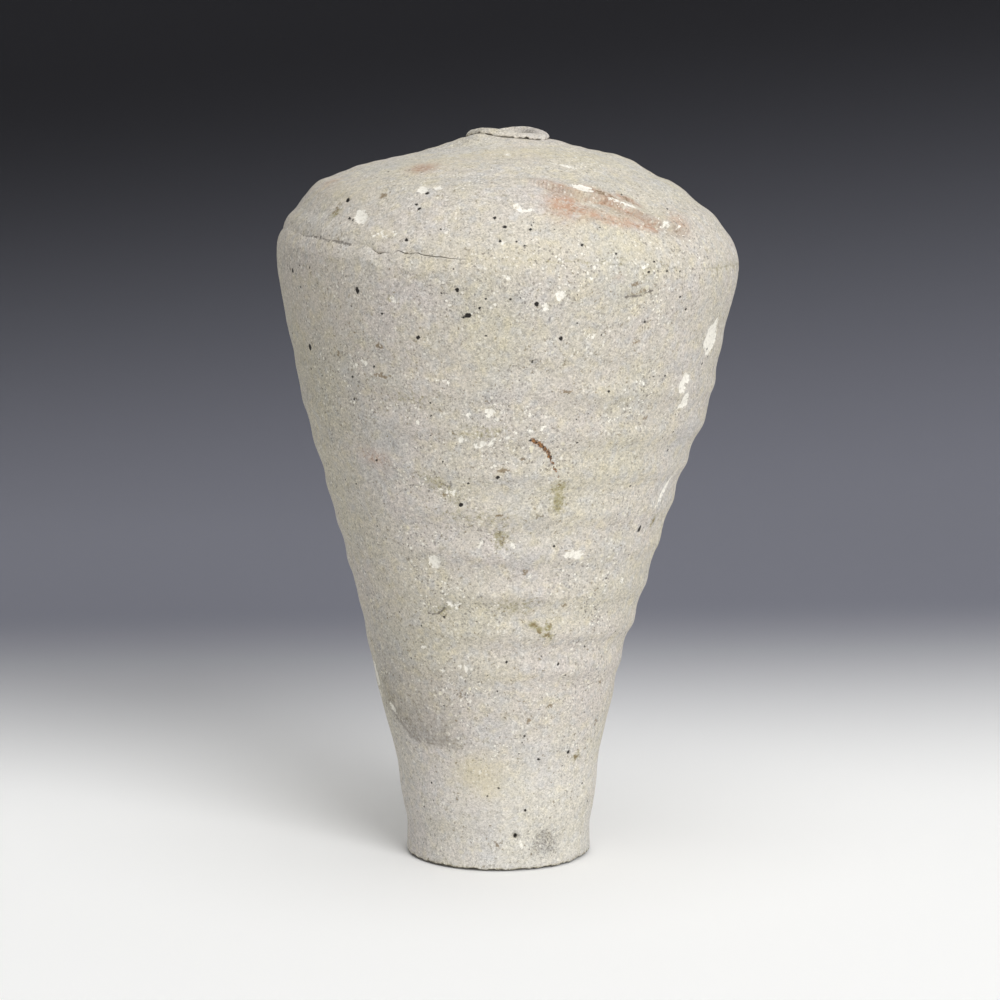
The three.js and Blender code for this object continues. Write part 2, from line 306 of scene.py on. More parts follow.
# marks of the fire and of use; a spot is angle, height, length, width, tilt
clayMarks = {
    "limeScars": [
        (228.7, 239.8, 7.4, 4.9, -38), (244.3, 249.6, 4.6, 3.4, -35), (248.7, 250.3, 3.6, 2.8, -30),
        (294.0, 249.6, 7.6, 4.2, -30), (294.5, 257.3, 10.5, 1.2, -45), (303.2, 244.7, 4.4, 1.3, -34),
        (306.2, 243.3, 4.6, 1.6, -30), (274.2, 243.2, 6.0, 1.9, -8), (272.6, 244.6, 2.2, 2.2, 0),
        (270.6, 261, 2.2, 3, 0), (336.2, 195.8, 10.0, 11.2, 84), (337.6, 200.2, 5.6, 4.0, 70),
        (335.4, 191.6, 4.6, 4.0, 76), (333.6, 194.6, 6.0, 4.6, 60), (325.4, 182.0, 4.2, 4.4, 80),
        (324.2, 179.2, 4.4, 4.8, 20), (327.4, 174.4, 4.2, 4.0, 0), (326.6, 171.8, 4.6, 2.8, 20),
        (328.6, 172.6, 2.8, 2.2, 0), (282.3, 214.5, 3.4, 3.4, 0), (279.1, 210.1, 1.8, 2.6, 20),
        (246.7, 117.9, 4.3, 5.2, 0), (296.6, 120.4, 5.2, 3.2, -15), (293.4, 120.6, 3.6, 1.8, -10),
        (208.5, 58.4, 4.4, 3.0, -35), (335.3, 140, 16, 2.0, 48), (265.4, 173.6, 3.4, 3.0, 30),
        (263.5, 161.8, 2.0, 2.0, 0), (257.6, 163.2, 2.2, 2.0, 0), (260, 172, 2.0, 1.6, 0),
        (241.9, 212.0, 2.4, 1.8, -40), (252.0, 102.2, 2.6, 1.8, -20), (315.5, 237, 2.2, 1.5, 20),
        (246.5, 77.4, 1.8, 1.4, 30),
    ],
    # torn chips on the left edge
    "edgeChips": [
        (190.0, 71.0, 7.0, 7.0, 20), (192.5, 66.5, 7.5, 6.5, -20), (188.0, 66.0, 6.5, 8.0, 0),
        (191.0, 62.5, 5.0, 5.5, 30),
    ],
    # crumbs of white grit: single grains that stand out
    "grit": [
        (231.6, 189.3, 1.5, 1.3, 0), (228.5, 188.4, 1.2, 1.1, 0), (230.3, 189.9, 1.1, 1.0, 0),
        (253.8, 184.7, 1.4, 1.2, 0), (255.1, 184.0, 1.2, 1.1, 0), (252.2, 184.3, 1.1, 1.0, 0),
        (245.9, 169.1, 1.7, 1.3, 10), (261.6, 161.6, 2.3, 1.9, 20), (263.5, 162.5, 1.5, 1.1, 0),
        (266.1, 162.5, 1.9, 1.5, -20), (268.1, 163.7, 1.7, 1.2, 30), (270.0, 164.8, 1.4, 1.1, 0),
        (272.7, 166.2, 1.7, 1.1, 20), (276.2, 166.8, 1.3, 1.1, 0), (279.7, 167.8, 1.4, 1.0, 15),
        (274.9, 173.9, 1.3, 0.8, -20), (276.0, 173.2, 1.2, 0.8, 10), (290.4, 200.3, 1.5, 1.2, 0),
        (289.5, 201.0, 1.2, 1.0, 0), (291.2, 199.5, 1.3, 1.1, 0), (281.3, 151.9, 1.9, 1.4, 30),
        (299.2, 169.3, 1.4, 1.2, 0), (255.0, 143.7, 1.8, 1.4, 20), (253.2, 144.3, 1.4, 1.1, 0),
        (251.3, 144.6, 1.6, 1.2, 30), (263.2, 125.0, 1.6, 1.3, 0), (273.5, 125.0, 1.5, 1.3, 0),
        (281.0, 112.7, 1.5, 1.2, 0), (253.6, 101.7, 1.9, 1.3, 0), (255.3, 102.5, 1.3, 1.1, 0),
        (258.2, 83.5, 1.6, 1.3, 0), (257.1, 78.3, 1.9, 1.4, 20), (259.7, 77.6, 1.6, 1.2, 0),
        (254.5, 78.6, 1.4, 1.3, 0), (257.8, 76.0, 1.5, 1.1, 0), (238.4, 85.4, 1.7, 1.5, 0),
        (314.8, 136.0, 1.6, 1.4, 0), (308.4, 117.2, 1.3, 1.1, 0), (323.1, 108.0, 2.0, 2.8, 0),
        (229.9, 48.9, 1.3, 1.1, 0), (236.0, 233.8, 1.3, 1.2, 0), (236.8, 234.6, 1.5, 1.2, 0),
        (238.1, 233.9, 1.4, 1.2, 0), (240.8, 235.3, 1.6, 1.3, 0), (241.7, 234.5, 1.4, 1.2, 0),
        (239.1, 233.0, 1.1, 1.0, 0), (304.5, 223.6, 1.6, 1.2, 0), (290.3, 219.4, 2.2, 1.0, 30),
        (269.9, 220.7, 1.4, 1.2, 0), (269.0, 232.4, 1.5, 1.2, 0), (322.1, 236.9, 0.9, 0.7, 0),
        (319.7, 236.0, 0.8, 0.7, 0), (283.6, 11.2, 1.8, 0.9, 40),
    ],
    "ironSpots": [
        (231.8, 214.7, 1.7, 2.5, 10), (258.3, 216.2, 1.7, 1.5, 0), (260.7, 207.3, 2.5, 2.0, 0),
        (259.4, 207.0, 2.0, 0.9, 5), (276.9, 211.8, 1.8, 1.8, 0), (325.6, 126.4, 2.9, 2.0, 55),
        (335.0, 191.8, 1.3, 1.3, 0), (336.6, 188.6, 1.2, 1.2, 0), (333.7, 186.8, 1.3, 1.3, 0),
        (327.3, 155.5, 1.2, 1.2, 0), (247.8, 199.5, 1.6, 1.6, 0), (208.2, 192.4, 2.6, 2.3, 0),
        (234, 188.1, 1.1, 1.2, 0), (226.3, 184.3, 1.3, 1.1, 0), (283, 199.1, 1.7, 1.8, 0),
        (297, 180.1, 1.4, 1.3, 0), (268.2, 150.3, 2.0, 1.6, 0), (257.2, 140.1, 1.8, 1.8, 0),
        (288.3, 124.4, 1.2, 1.2, 0), (274.4, 80.7, 1.1, 1.1, 0), (297.3, 78.5, 1.1, 1.1, 0),
        (301.9, 74.7, 0.9, 0.9, 0), (284.3, 51.9, 1.2, 1.1, 0), (283, 49.3, 0.9, 0.9, 0),
        (292.4, 42.2, 1.7, 1.2, 10), (311.3, 43.7, 1.5, 1.4, 40), (281.8, 44.9, 1.0, 0.8, 0),
        (285.9, 23.3, 1.1, 1.1, 0), (229.5, 31.9, 1.0, 1.0, 0), (335.6, 21.8, 1.2, 1.0, 0),
        (220.1, 245.3, 2.5, 1.5, -42), (225.1, 239.4, 1.7, 1.0, -40), (226.5, 238.7, 1.7, 1.1, -40),
        (245, 232.7, 1.5, 1.2, -30), (244.7, 244.7, 1.5, 1.1, -35), (245.7, 243.3, 1.7, 1.2, -35),
        (246.1, 248.4, 1.8, 1.2, 0), (266.6, 240.3, 1.5, 1.5, 0), (269.2, 237.4, 1.6, 1.3, -20),
        (268.2, 232.7, 1.0, 1.0, 0), (272.3, 232.4, 1.3, 1.2, 0), (274, 231.4, 1.1, 1.0, 0),
        (275.7, 236.7, 1.1, 1.1, 0), (288.3, 231.2, 1.1, 1.1, 0), (296.5, 228.2, 1.1, 1.1, 0),
        (305.6, 221.3, 1.2, 0.9, 0), (308.4, 221.7, 1.0, 0.8, 0), (311.2, 221.2, 1.3, 0.8, 0),
        (315.4, 220.9, 1.0, 0.8, 0), (307.3, 224.7, 1.1, 1.0, 0), (321.8, 242, 1.2, 1.1, 0),
        (204.5, 220, 1.7, 1.8, 0), (263.6, 210.1, 1.2, 1.1, 0), (265, 213.2, 1.0, 1.0, 0),
        (238.7, 207.1, 1.2, 1.1, 0), (270.8, 213.2, 1.1, 1.0, 0), (319.3, 207.6, 1.0, 1.0, 0),
        (316, 212.1, 1.1, 1.0, 0), (276.4, 163.3, 1.1, 0.9, 0), (278.2, 162.7, 1.2, 1.0, 0),
        (280.6, 160.4, 1.0, 0.9, 0), (283.0, 157.2, 0.9, 0.8, 0), (284.4, 153.4, 0.9, 0.8, 0),
        (252.2, 155, 1.0, 1.0, 0), (259.5, 147.3, 1.1, 1.1, 0),
    ],
    "pinholes": [
        (280.5, 12.9, 3.4, 2.8, -15), (237.8, 228.3, 3.4, 1.4, 0), (252.4, 102.4, 1.4, 1.2, 0),
        (337, 191, 1.6, 2.0, 0),
    ],
    # patches carry a strength as well
    "blush": [
        (286.2, 244.6, 12, 13, -20, 1.0), (289.5, 243.0, 12, 9, -20, 0.85), (293.6, 241.4, 14, 6, -16, 0.7),
        (298, 239.9, 14, 5, -10, 0.6), (303.5, 239.0, 15, 5, -4, 0.5), (309, 238.4, 12, 5, 0, 0.35),
        (283, 251.6, 10, 4, -30, 0.5), (286.5, 250.2, 10, 4, -32, 0.65), (289.8, 248.9, 9, 4, -32, 0.55),
        (297.6, 248.2, 10, 5, -36, 1.0), (301.2, 246.0, 10, 4.5, -36, 0.95), (308.2, 245.0, 8, 3, -46, 0.9),
        (306, 246.4, 5, 2.5, -46, 0.7), (304.5, 241.6, 16, 4, -24, 0.5), (321.5, 236.8, 11, 9, 0, 0.5),
        (234.5, 256.3, 10, 9, -20, 0.8), (229.8, 155, 13, 6, -8, 0.45), (201, 250.8, 10, 8, 0, 0.35),
        (297, 219.6, 5, 3, 0, 0.2),
    ],
    # brown stains of iron in the clay
    "stains": [
        (236.7, 195.4, 3.4, 1.8, -20, 1.1), (222.1, 191.7, 2.2, 2.2, 0, 1.0), (236.2, 185.1, 5, 1.3, -10, 1.4),
        (335.4, 191.2, 2.4, 2.2, 0, 1.2), (269.5, 153.0, 5.2, 1.6, -5, 1.0), (286.2, 180.4, 6, 1.4, -8, 0.7),
        (303.8, 197.4, 5.4, 1.8, 10, 0.7), (311.5, 168.9, 2.2, 1.8, 0, 0.8), (275.1, 156, 2.6, 1.6, 0, 0.7),
        (268.9, 136.7, 4, 1.2, 10, 0.7), (278.9, 114.7, 2.2, 2.4, 0, 0.9), (302.3, 143.5, 1.8, 1.6, 0, 0.7),
        (296, 101.4, 2.4, 1.8, 0, 0.8), (296.7, 63.5, 2.6, 2.2, 0, 0.8), (286.4, 58.4, 2.4, 2, 0, 0.8),
        (291.3, 55.8, 2, 1.8, 0, 0.8), (331.3, 52.4, 3, 3, 0, 0.7), (328.7, 68.1, 3, 3, 0, 0.7),
        (268.9, 9.7, 3.4, 1.6, -30, 0.8), (232.5, 247.4, 3.8, 3, -20, 1.0), (217.7, 241.8, 2.6, 4.4, 0, 0.9),
        (253.9, 68.8, 3.2, 2.6, 0, 0.7), (301.7, 217.2, 3.6, 2.6, 0, 0.7), (303, 214.6, 10, 2.4, 12, 0.5),
        (299.4, 247.9, 8, 3.4, -40, 0.7), (302.5, 245.4, 7, 2.6, -36, 0.6), (308, 244.9, 6, 2.2, -46, 0.7),
        (255, 101.2, 3, 1.2, 0, 0.7), (253, 143, 5, 1.4, 20, 0.7), (284.2, 94.2, 3.6, 1.8, -20, 0.7),
        (287, 92.2, 3, 1.6, -30, 0.7), (290.5, 94.2, 1.8, 2.6, 0, 0.7), (289.6, 91.2, 3, 1.6, 20, 0.6),
        (286.6, 147, 3.6, 2.4, 0, 0.5), (270, 127.6, 3, 3, 0, 0.5), (334, 128.5, 2.4, 3, 0, 0.6),
        (318.3, 41, 3.4, 3.4, 0, 0.6),
    ],
    # brown burns; the long thin ones along the fold's crease are partly brown colour, partly painted shade in the
    # crease
    "burns": [
        (297.8, 248.0, 9, 3.6, -36, 0.75), (301.4, 245.8, 9, 3.2, -36, 0.7), (308.4, 244.9, 6, 2, -46, 0.7),
        (305.4, 240.8, 22, 3, -22, 0.4), (287, 249.8, 14, 2.4, -32, 0.35), (299, 244.4, 10, 2, -30, 0.5),
        (305, 242, 12, 2, -26, 0.5), (311, 239.8, 12, 2.2, -28, 0.45), (317.5, 236.8, 12, 2.6, -32, 0.4),
        (204, 60.5, 4, 3, 0, 0.7), (302.5, 215.2, 12, 5, 10, 0.35), (316, 234.8, 18, 9, -25, 0.3),
        (234.5, 256.3, 8, 7, -20, 0.4),
    ],
    "olive": [
        (286.8, 145.5, 6, 5, 0, 0.8), (287.2, 140.6, 5.5, 9, 0, 0.75), (269.7, 127.2, 7, 8, 0, 0.6),
        (283.8, 94.3, 5, 3, -20, 0.9), (286.6, 92.4, 4, 2.6, -30, 0.9), (290.3, 93.9, 2.6, 4, 0, 0.9),
        (291.2, 90.4, 2.6, 4, 0, 0.8), (288.9, 91.4, 4, 2.4, 20, 0.7), (334, 128.5, 4, 6, 0, 0.6),
        (241.2, 212.6, 4, 3, 0, 0.5), (218.2, 241.1, 4, 7, 0, 0.6), (247, 99.4, 14, 5, 15, 0.4),
        (251.5, 146, 20, 7, -35, 0.45), (262, 135, 34, 9, -5, 0.3), (264, 166.5, 16, 5, 8, 0.4),
        (318.3, 41, 5, 5, 0, 0.6), (244, 177, 22, 6, 0, 0.3), (276, 101.5, 20, 8, 0, 0.35),
    ],
    "ochre": [
        (258.6, 36.6, 17, 15, -20, 1.1), (264, 32.5, 12, 9, -10, 0.9), (239, 234.4, 13, 5, 0, 0.7),
        (276, 261.5, 44, 16, 0, 0.6), (235, 258, 30, 16, 0, 0.45), (232, 104, 26, 16, 0, 0.25),
        (300, 229.5, 40, 9, 0, 0.3), (270, 227.5, 60, 9, 0, 0.35), (214, 248, 34, 16, 0, 0.35),
        (214, 205, 60, 46, 0, 0.26), (240, 185, 50, 40, 0, 0.16),
    ],
    "ash": [(299.5, 10, 10.4, 9.8, 0, 1.4), (265, 10.5, 3, 3, 0, 0.3), (207, 62, 30, 30, 0, 0.25)],
    # where white grit gathers
    "crumbs": [
        (239.5, 235, 12, 5, -10, 1.0), (257.5, 162.5, 34, 6, 4, 1.0), (266, 174, 16, 10, 0, 0.8),
        (247, 146, 22, 10, -30, 1.0), (262, 127, 40, 12, 0, 0.7), (287, 111, 24, 12, 0, 0.7),
        (246, 106, 20, 14, 0, 0.8), (254, 69, 34, 20, 0, 0.9), (281, 90, 26, 12, 0, 0.6),
        (287, 176, 20, 9, 0, 0.6), (318, 236, 26, 12, -20, 0.8), (310, 231, 40, 12, 0, 0.6),
        (272, 228, 60, 7, 0, 0.6), (233, 180, 20, 16, 0, 0.5), (292, 60, 26, 14, 0, 0.5),
    ],
    # lower edge of the smoked patch above the foot: angle, height
    "scorchEdge": [
        (190, 62), (205, 56.5), (212, 53.2), (218, 48.8), (230, 47.2), (244, 46.6), (257, 45.6), (275, 45),
    ],
    # lines are angle, height
    "rustLine": [
        (277.2, 163.2), (279.3, 161.7), (281.4, 160.1), (283.2, 156.1), (284.5, 152.9), (285.7, 150.3),
    ],
    "hairCracks": [
        [(299.4, 213.0), (301.6, 212.9), (303.8, 213.6), (306.8, 214.7)],
        [(241.5, 97.9), (243, 97.7), (245.9, 98.4), (248.6, 100.3)],
    ],
    "foldLine": [
        (280.3, 251.6), (285.3, 250.0), (290.4, 248.3), (294.2, 246.9), (300.3, 245.2), (305.2, 243.2),
        (307.5, 241.4), (310.7, 238.6), (316, 236.4), (321, 234.2),
    ],
    "scoopLine": [(283.5, 242.2), (287.3, 240.4), (295, 239.3), (300.6, 238.1), (307.7, 237.0), (311.5, 236.4)],
    # angle, height, spread across, spread up, rise: where a hand swelled or pressed the wall
    "presses": [
        (0, 222, 40, 9, 0.9), (0, 146, 35, 9, -0.6), (180, 94, 30, 8, -1.3), (180, 72, 30, 10, -0.3),
        (180, 188, 30, 5, -0.5), (180, 143, 30, 5, -0.6), (350, 196, 20, 8, -0.5), (322, 236.5, 6, 3, 0.5),
        (326, 238, 4, 2.5, 0.35), (180, 155, 34, 12, -0.7), (180, 122, 34, 9, -0.6), (180, 108, 30, 6, -0.7),
        (5, 259.2, 13, 5, 0.8), (5, 251.5, 12, 5, -0.4), (0, 168, 30, 4, 0.6), (0, 60, 25, 6, 0.5),
        (312, 234, 15, 5, -0.5), (293, 243.5, 10, 3.5, -0.35),
    ],
    # the back is strewn by chance: how many, then bounds of height, length, width to length and tilt
    "straySeed": 11,
    "strayAngles": (2, 178),
    "strayScars": (26, (20, 258), (1.8, 5.5), (0.5, 1), (-60, 60)),
    "strayIron": (60, (10, 260), (0.9, 2.2)),
    "strayLie": ((18, 255), (0.35, 0.9), (-40, 40)),  # bounds of height, width to length and tilt for patches
    # kind, how many, bounds of length and of strength
    "strayPatches": [
        ("stains", 18, (2.0, 6.0), (0.6, 1.1)), ("olive", 14, (4.0, 20.0), (0.3, 0.8)),
        ("ochre", 9, (20.0, 50.0), (0.25, 0.6)), ("blush", 5, (6.0, 14.0), (0.3, 0.8)),
        ("crumbs", 9, (14.0, 36.0), (0.5, 1.0)), ("burns", 4, (5.0, 14.0), (0.3, 0.6)),
    ],
}

stray = np.random.default_rng(clayMarks["straySeed"])


# values drawn by chance, one array for each pair of bounds
def strewn(count, *bounds):
    return [stray.uniform(*pair, count) for pair in bounds]


backAngles = clayMarks["strayAngles"]
count, *bounds = clayMarks["strayScars"]
strayScars = [(a, h, l, l * k, t) for a, h, l, k, t in zip(*strewn(count, backAngles, *bounds))]
count, *bounds = clayMarks["strayIron"]
strayIron = [(a, h, l, l, 0) for a, h, l in zip(*strewn(count, backAngles, *bounds))]
for kind, count, size, strength in clayMarks["strayPatches"]:
    (lengths,) = strewn(count, size)
    angles, heights, shares, tilts, strengths = strewn(count, backAngles, *clayMarks["strayLie"], strength)
    clayMarks[kind] = clayMarks[kind] + list(zip(angles, heights, lengths, lengths * shares, tilts, strengths))

markWork = {
    "gritShape": (1.2, 0.68, 67),  # each grain is drawn out, slimmed and turned on, so that no two lie the same way
    "tornEdge": [(1.3, 3.6, 26), (0.7, 1.7, 27)],
    "tornShrink": 0.2,
    "pinholeShrink": 0.7,
    "rustThinning": (0.5, 152, 162),  # the line of rust thins below these heights
    "scorchSoft": 0.8,
    "scorchFade": 20,
    "scorchAngles": (195, 210, 240, 262),
    "footRagged": [(1.6, 3.4, 16, 0.1), (1.2, 1.3, 17, 0.0)],  # height, size, seed, and what is cut off below
    "footStain": (0.55, 0.9),
    # painted shadow under the foot's worn edge: how fast it fades with height
    "footShadow": 0.9,
    "grooveShadow": (0.2, (199, 206, 229, 234)),  # painted shadow line in the seam's groove on the left: least distance, angles
    # strength, reach from the seam, middle angle, reach round the jar
    "seamStains": [(0.32, 0.9, 284, 16), (0.42, 1.6, 345, 20)],
    "foldAngles": (290, 298, 311, 318),
    "foldBlushAndShade": (0.75, 0.8, 1.6, 1.8),  # strength, how far up it begins, reach from the fold and from the scoop
    # painted shade on the upper body and the left side, and painted light on the dome's top
    "shadeBelt": (0.75, (145, 175, 212, 231)),
    "shadeCloud": (0.7, 224, 26, 188, 42),  # strength, angle and its reach, height and its reach
    "paintedDomeLight": (0.7, 246, 259),
    "bandAngles": (186, 200, 250, 275),
    # painted light and dark bands below the seam on the left: strength, distance, reach
    "seamShadeBands": [(1, 6.8, 1.1), (-0.8, 4, 1.6), (0.7, 11, 1.4)],
    "bandWander": (0.7, 12, 19),
}

heightGrid = bare[..., 2]
angleGrid = columnAngle[None, :] + 0 * heightGrid
roundAngle = angleGrid % 360
seamRow = courseRows["shoulder_cap"][0]
aboveSeam = (np.arange(len(bare)) >= seamRow)[:, None]
fromSeam = np.linalg.norm(bare - bare[seamRow][None], axis=-1)
onGround = bare * [1, 1, 0]
footRagged = sum(rise * np.maximum(clayNoise(onGround, size, seed) - cut, 0)
                 for rise, size, seed, cut in markWork["footRagged"])
footGap = skinForm["footGap"] * (1 + footRagged)
longer, slimmer, turned = markWork["gritShape"]
grit = [(a, h, l * longer, w * slimmer, t + turned * i % 180)
        for i, (a, h, l, w, t) in enumerate(clayMarks["grit"])]
tornScar = spotField(clayMarks["edgeChips"] + strayScars) + clayLayers(bare, markWork["tornEdge"])
scar = np.maximum(spotField(clayMarks["limeScars"] + grit), tornScar - markWork["tornShrink"])
iron = spotField(clayMarks["ironSpots"] + strayIron)
pinhole = spotField(clayMarks["pinholes"])
crackAndShadowLine = np.min([lineField(path)[0] for path in clayMarks["hairCracks"]], axis=0)
foldFar, foldSide = lineField(clayMarks["foldLine"])
scoopFar, scoopSide = lineField(clayMarks["scoopLine"])
thinning, *heights = markWork["rustThinning"]
rust = lineField(clayMarks["rustLine"])[0] + thinning * (1 - ease(heightGrid, *heights))
scorchRise = heightGrid - curveThrough(clayMarks["scorchEdge"], roundAngle)
scorch = ease(scorchRise, -markWork["scorchSoft"], markWork["scorchSoft"])
scorch = scorch * np.exp(-np.maximum(scorchRise, 0) / markWork["scorchFade"])
scorch = scorch * between(angleGrid, markWork["scorchAngles"])


# stains that follow the seam and the foot's edge
def edgeStain():
    strength, reach = markWork["footStain"]
    seam = sum(k * bell(fromSeam, far) * bell(fromAngle(angleGrid, middle), wide)
               for k, far, middle, wide in markWork["seamStains"])
    return np.maximum(strength * bell(heightGrid - footGap, reach), seam)


# distance from the nearest dark line among the hair cracks, the painted shadow in the seam's groove on the left and
# the painted shadow under the foot's edge
def crackAndShadowDistance():
    start, angles = markWork["grooveShadow"]
    groove = fromSeam + start + blankField["crackAndShadowLine"] * (1 - between(angleGrid, angles))
    foot = markWork["footShadow"] * np.maximum(heightGrid - footGap, 0)
    return np.minimum.reduce([crackAndShadowLine, groove, foot, np.full(bare.shape[:2], blankField["crackAndShadowLine"])])


# red that follows the fold and the scoop below it: partly the clay's own colour, partly painted shade in the fold's
# crease
def foldBlushAndShade():
    strength, begins, foldReach, scoopReach = markWork["foldBlushAndShade"]
    fold = bell(foldFar + begins * (foldSide > 0), foldReach)
    return strength * between(roundAngle, markWork["foldAngles"]) * np.maximum(fold, bell(scoopFar, scoopReach))


# painted shade: a dark belt round the upper body and a dark cloud on the left, painted light on the dome's top, and
# painted light and dark bands below the seam
def paintedShadeField():
    belt, heights = markWork["shadeBelt"]
    cloud, middle, wide, level, tall = markWork["shadeCloud"]
    clear, *top = markWork["paintedDomeLight"]
    paintedShade = belt * between(heightGrid, heights)
    paintedShade = paintedShade + cloud * bell(roundAngle - middle, wide) * bell(heightGrid - level, tall)
    wander = [clayLayers(bare, [markWork["bandWander"]]), 0, 0]
    bands = sum(k * bell(fromSeam - far - w, reach) for (k, far, reach), w in zip(markWork["seamShadeBands"], wander))
    return paintedShade - clear * ease(heightGrid, *top) + ~aboveSeam * between(angleGrid, markWork["bandAngles"]) * bands


skinFields = {
    "limeScar": scar,
    # iron spots, and painted shade: the pinholes' cores are darkened in the iron colour
    "ironSpotAndPinholeShade": np.maximum(iron, pinhole - markWork["pinholeShrink"]),
    "crackAndShadowLine": crackAndShadowDistance(),
    "rustLine": np.minimum(rust, blankField["rustLine"]),
    "blush": np.maximum(patchField(clayMarks["blush"]), foldBlushAndShade()),
    "olive": np.maximum(patchField(clayMarks["olive"]), edgeStain()),
    "ochre": patchField(clayMarks["ochre"]),
    "ash": patchField(clayMarks["ash"]),
    "crumb": patchField(clayMarks["crumbs"]),
    "scorch": np.maximum(scorch, patchField(clayMarks["burns"])),
    "stain": patchField(clayMarks["stains"]),
    "paintedShade": paintedShadeField(),
}
print("marks", len(clayMarks["limeScars"]), "scars,", len(clayMarks["ironSpots"]), "iron spots")


# what the fingers and the wheel left; noise layers are height, size, seed
throwing = {
    "ringPitch": 15.0,
    "ringDepth": 0.55,
    # how much deeper the rings are at the front and on the right of it: depth, angle, reach
    "ringDeeper": [(0.8, 290, 58), (0.6, 305, 16)],
    "ringPhase": 302,
    "ringHeights": (52, 84, 172, 208),
    "ringWander": [(0.8, 60, 1)],
    "ringEvenness": 0.9,
    "ringUneven": [(0.55, 38, 2)],
    "ringSecond": 0.12,  # a second, finer wave sharpens the crests
    "lumps": [(0.34, 34, 3), (0.16, 13, 4), (0.07, 5.2, 5), (0.035, 2.3, 7), (0.03, 1.25, 8)],
    "streaks": [(0.05, 1.9, 6)],
    "streakLength": 9,
    "wheelDepth": 0.09,  # wheel lines on the dome
    "wheelPitch": 6.5,
    "wheelWander": [(1.5, 30, 9)],
    "wheelHeights": (236, 250),
}


# finger rings: one spiral wave up the wall that grows and fades with height and is deeper at the front
def fingerRings():
    turn = 2 * np.pi * heightGrid / throwing["ringPitch"] + np.radians(angleGrid - throwing["ringPhase"])
    turn = turn + clayLayers(bare, throwing["ringWander"])
    deeper = sum(depth * bell(roundAngle - middle, reach) for depth, middle, reach in throwing["ringDeeper"])
    depth = between(heightGrid, throwing["ringHeights"]) * (throwing["ringDepth"] + deeper) / 2
    depth = depth * (throwing["ringEvenness"] + clayLayers(bare, throwing["ringUneven"]))
    return depth * (np.cos(turn) + throwing["ringSecond"] * np.cos(2 * turn))


# presses of the hand as bells, lumps and grain as noise, and waves round the dome
def handWork():
    flat = 1 / throwing["streakLength"]
    relief = clayLayers(bare, throwing["lumps"]) + clayLayers(bare * [flat, flat, 1], throwing["streaks"])
    for angle, height, across, up, rise in clayMarks["presses"]:
        away = bare - spotOnSkin(angle, height)[0]
        relief = relief + rise * bell(np.hypot(away[..., 0], away[..., 1]), across) * bell(away[..., 2], up)
    wheel = np.hypot(bare[..., 0] - skinForm["mouthAxis"], bare[..., 1]) + clayLayers(bare, throwing["wheelWander"])
    lines = np.cos(2 * np.pi * wheel / throwing["wheelPitch"] + np.radians(angleGrid))
    return relief + throwing["wheelDepth"] * lines * ease(heightGrid, *throwing["wheelHeights"])


seamWork = {
    # angle, depth of the groove along the shoulder seam
    "groove": [
        (20, 0.35), (80, 0.4), (140, 0.45), (185, 0.4), (205, 0.52), (222, 0.55), (236, 0.65), (250, 0.5),
        (262, 0.42), (285, 0.33), (320, 0.3),
    ],
    # angle, how far the crack stands open
    "crack": [
        (0, 0.02), (200, 0.02), (235.6, 0.04), (236.6, 0.42), (239, 0.38), (240.2, 0.12), (242.2, 0.12),
        (243.2, 0.4), (247, 0.3), (250, 0.42), (254, 0.34), (258, 0.2), (261, 0.03), (300, 0.02),
    ],
    "grooveFill": (0.75, 0.1, 1.4),  # how full the groove is on average, at least and at most
    "grooveBreaks": [(0.9, 6, 10)],
    "grooveSteps": [(0.35, 0.5), (0.6, 1.4), (0.4, 3.8)],  # share of the depth, reach from the seam
    "ledge": 0.45,  # the dome's edge stands proud of the wall
    "ledgeReach": 4,
    # a collar of clay below the seam on the left
    "collarRise": 0.5,
    "collarWidth": 5.6,
    "collarSoft": 0.9,
    "collarWander": [(0.8, 9, 18)],
    "collarMiddle": 226,
    "collarReach": 36,
    "collarStart": (184, 204),
    "collarAngles": (185, 300),
}


# the shoulder seam: a groove of three bells, the dome's edge above it and the collar below it
def seamRelief():
    average, least, most = seamWork["grooveFill"]
    groove = curveRound(seamWork["groove"], columnAngle)[None, :]
    groove = groove * np.clip(average + clayLayers(bare, seamWork["grooveBreaks"]), least, most)
    relief = -sum(share * groove * bell(fromSeam, reach) for share, reach in seamWork["grooveSteps"])
    relief = relief + aboveSeam * seamWork["ledge"] * groove * np.exp(-fromSeam / seamWork["ledgeReach"])
    first, last = seamWork["collarAngles"]
    lowSide = (angleGrid > first) & (angleGrid < last) & ~aboveSeam
    inside = seamWork["collarWidth"] - fromSeam - clayLayers(bare, seamWork["collarWander"])
    collar = seamWork["collarRise"] * bell(angleGrid - seamWork["collarMiddle"], seamWork["collarReach"])
    collar = collar * ease(inside, -seamWork["collarSoft"], seamWork["collarSoft"])
    return relief + lowSide * collar * ease(angleGrid, *seamWork["collarStart"])


# fullness and reach along the line, then rise above it, rise below it and how fast they die away
foldWork = {
    "fold": (1.15, 9, 1.3, -1.2, 4),
    "scoop": (1.15, 7, -0.45, 0.3, 2.5),
    "crease": (0.4, 0.9),
}


# the fold on the shoulder and the scoop below it: clay stands proud on one side of a line and sinks on the other
def foldRelief():
    depth, reach = foldWork["crease"]
    relief = -depth * bell(foldFar, reach)
    for kind, far, side in (("fold", foldFar, foldSide), ("scoop", scoopFar, scoopSide)):
        full, length, above, below, fade = foldWork[kind]
        relief = relief + np.clip(full - far / length, 0, 1) * np.where(side > 0, above, below) * np.exp(-far / fade)
    return relief


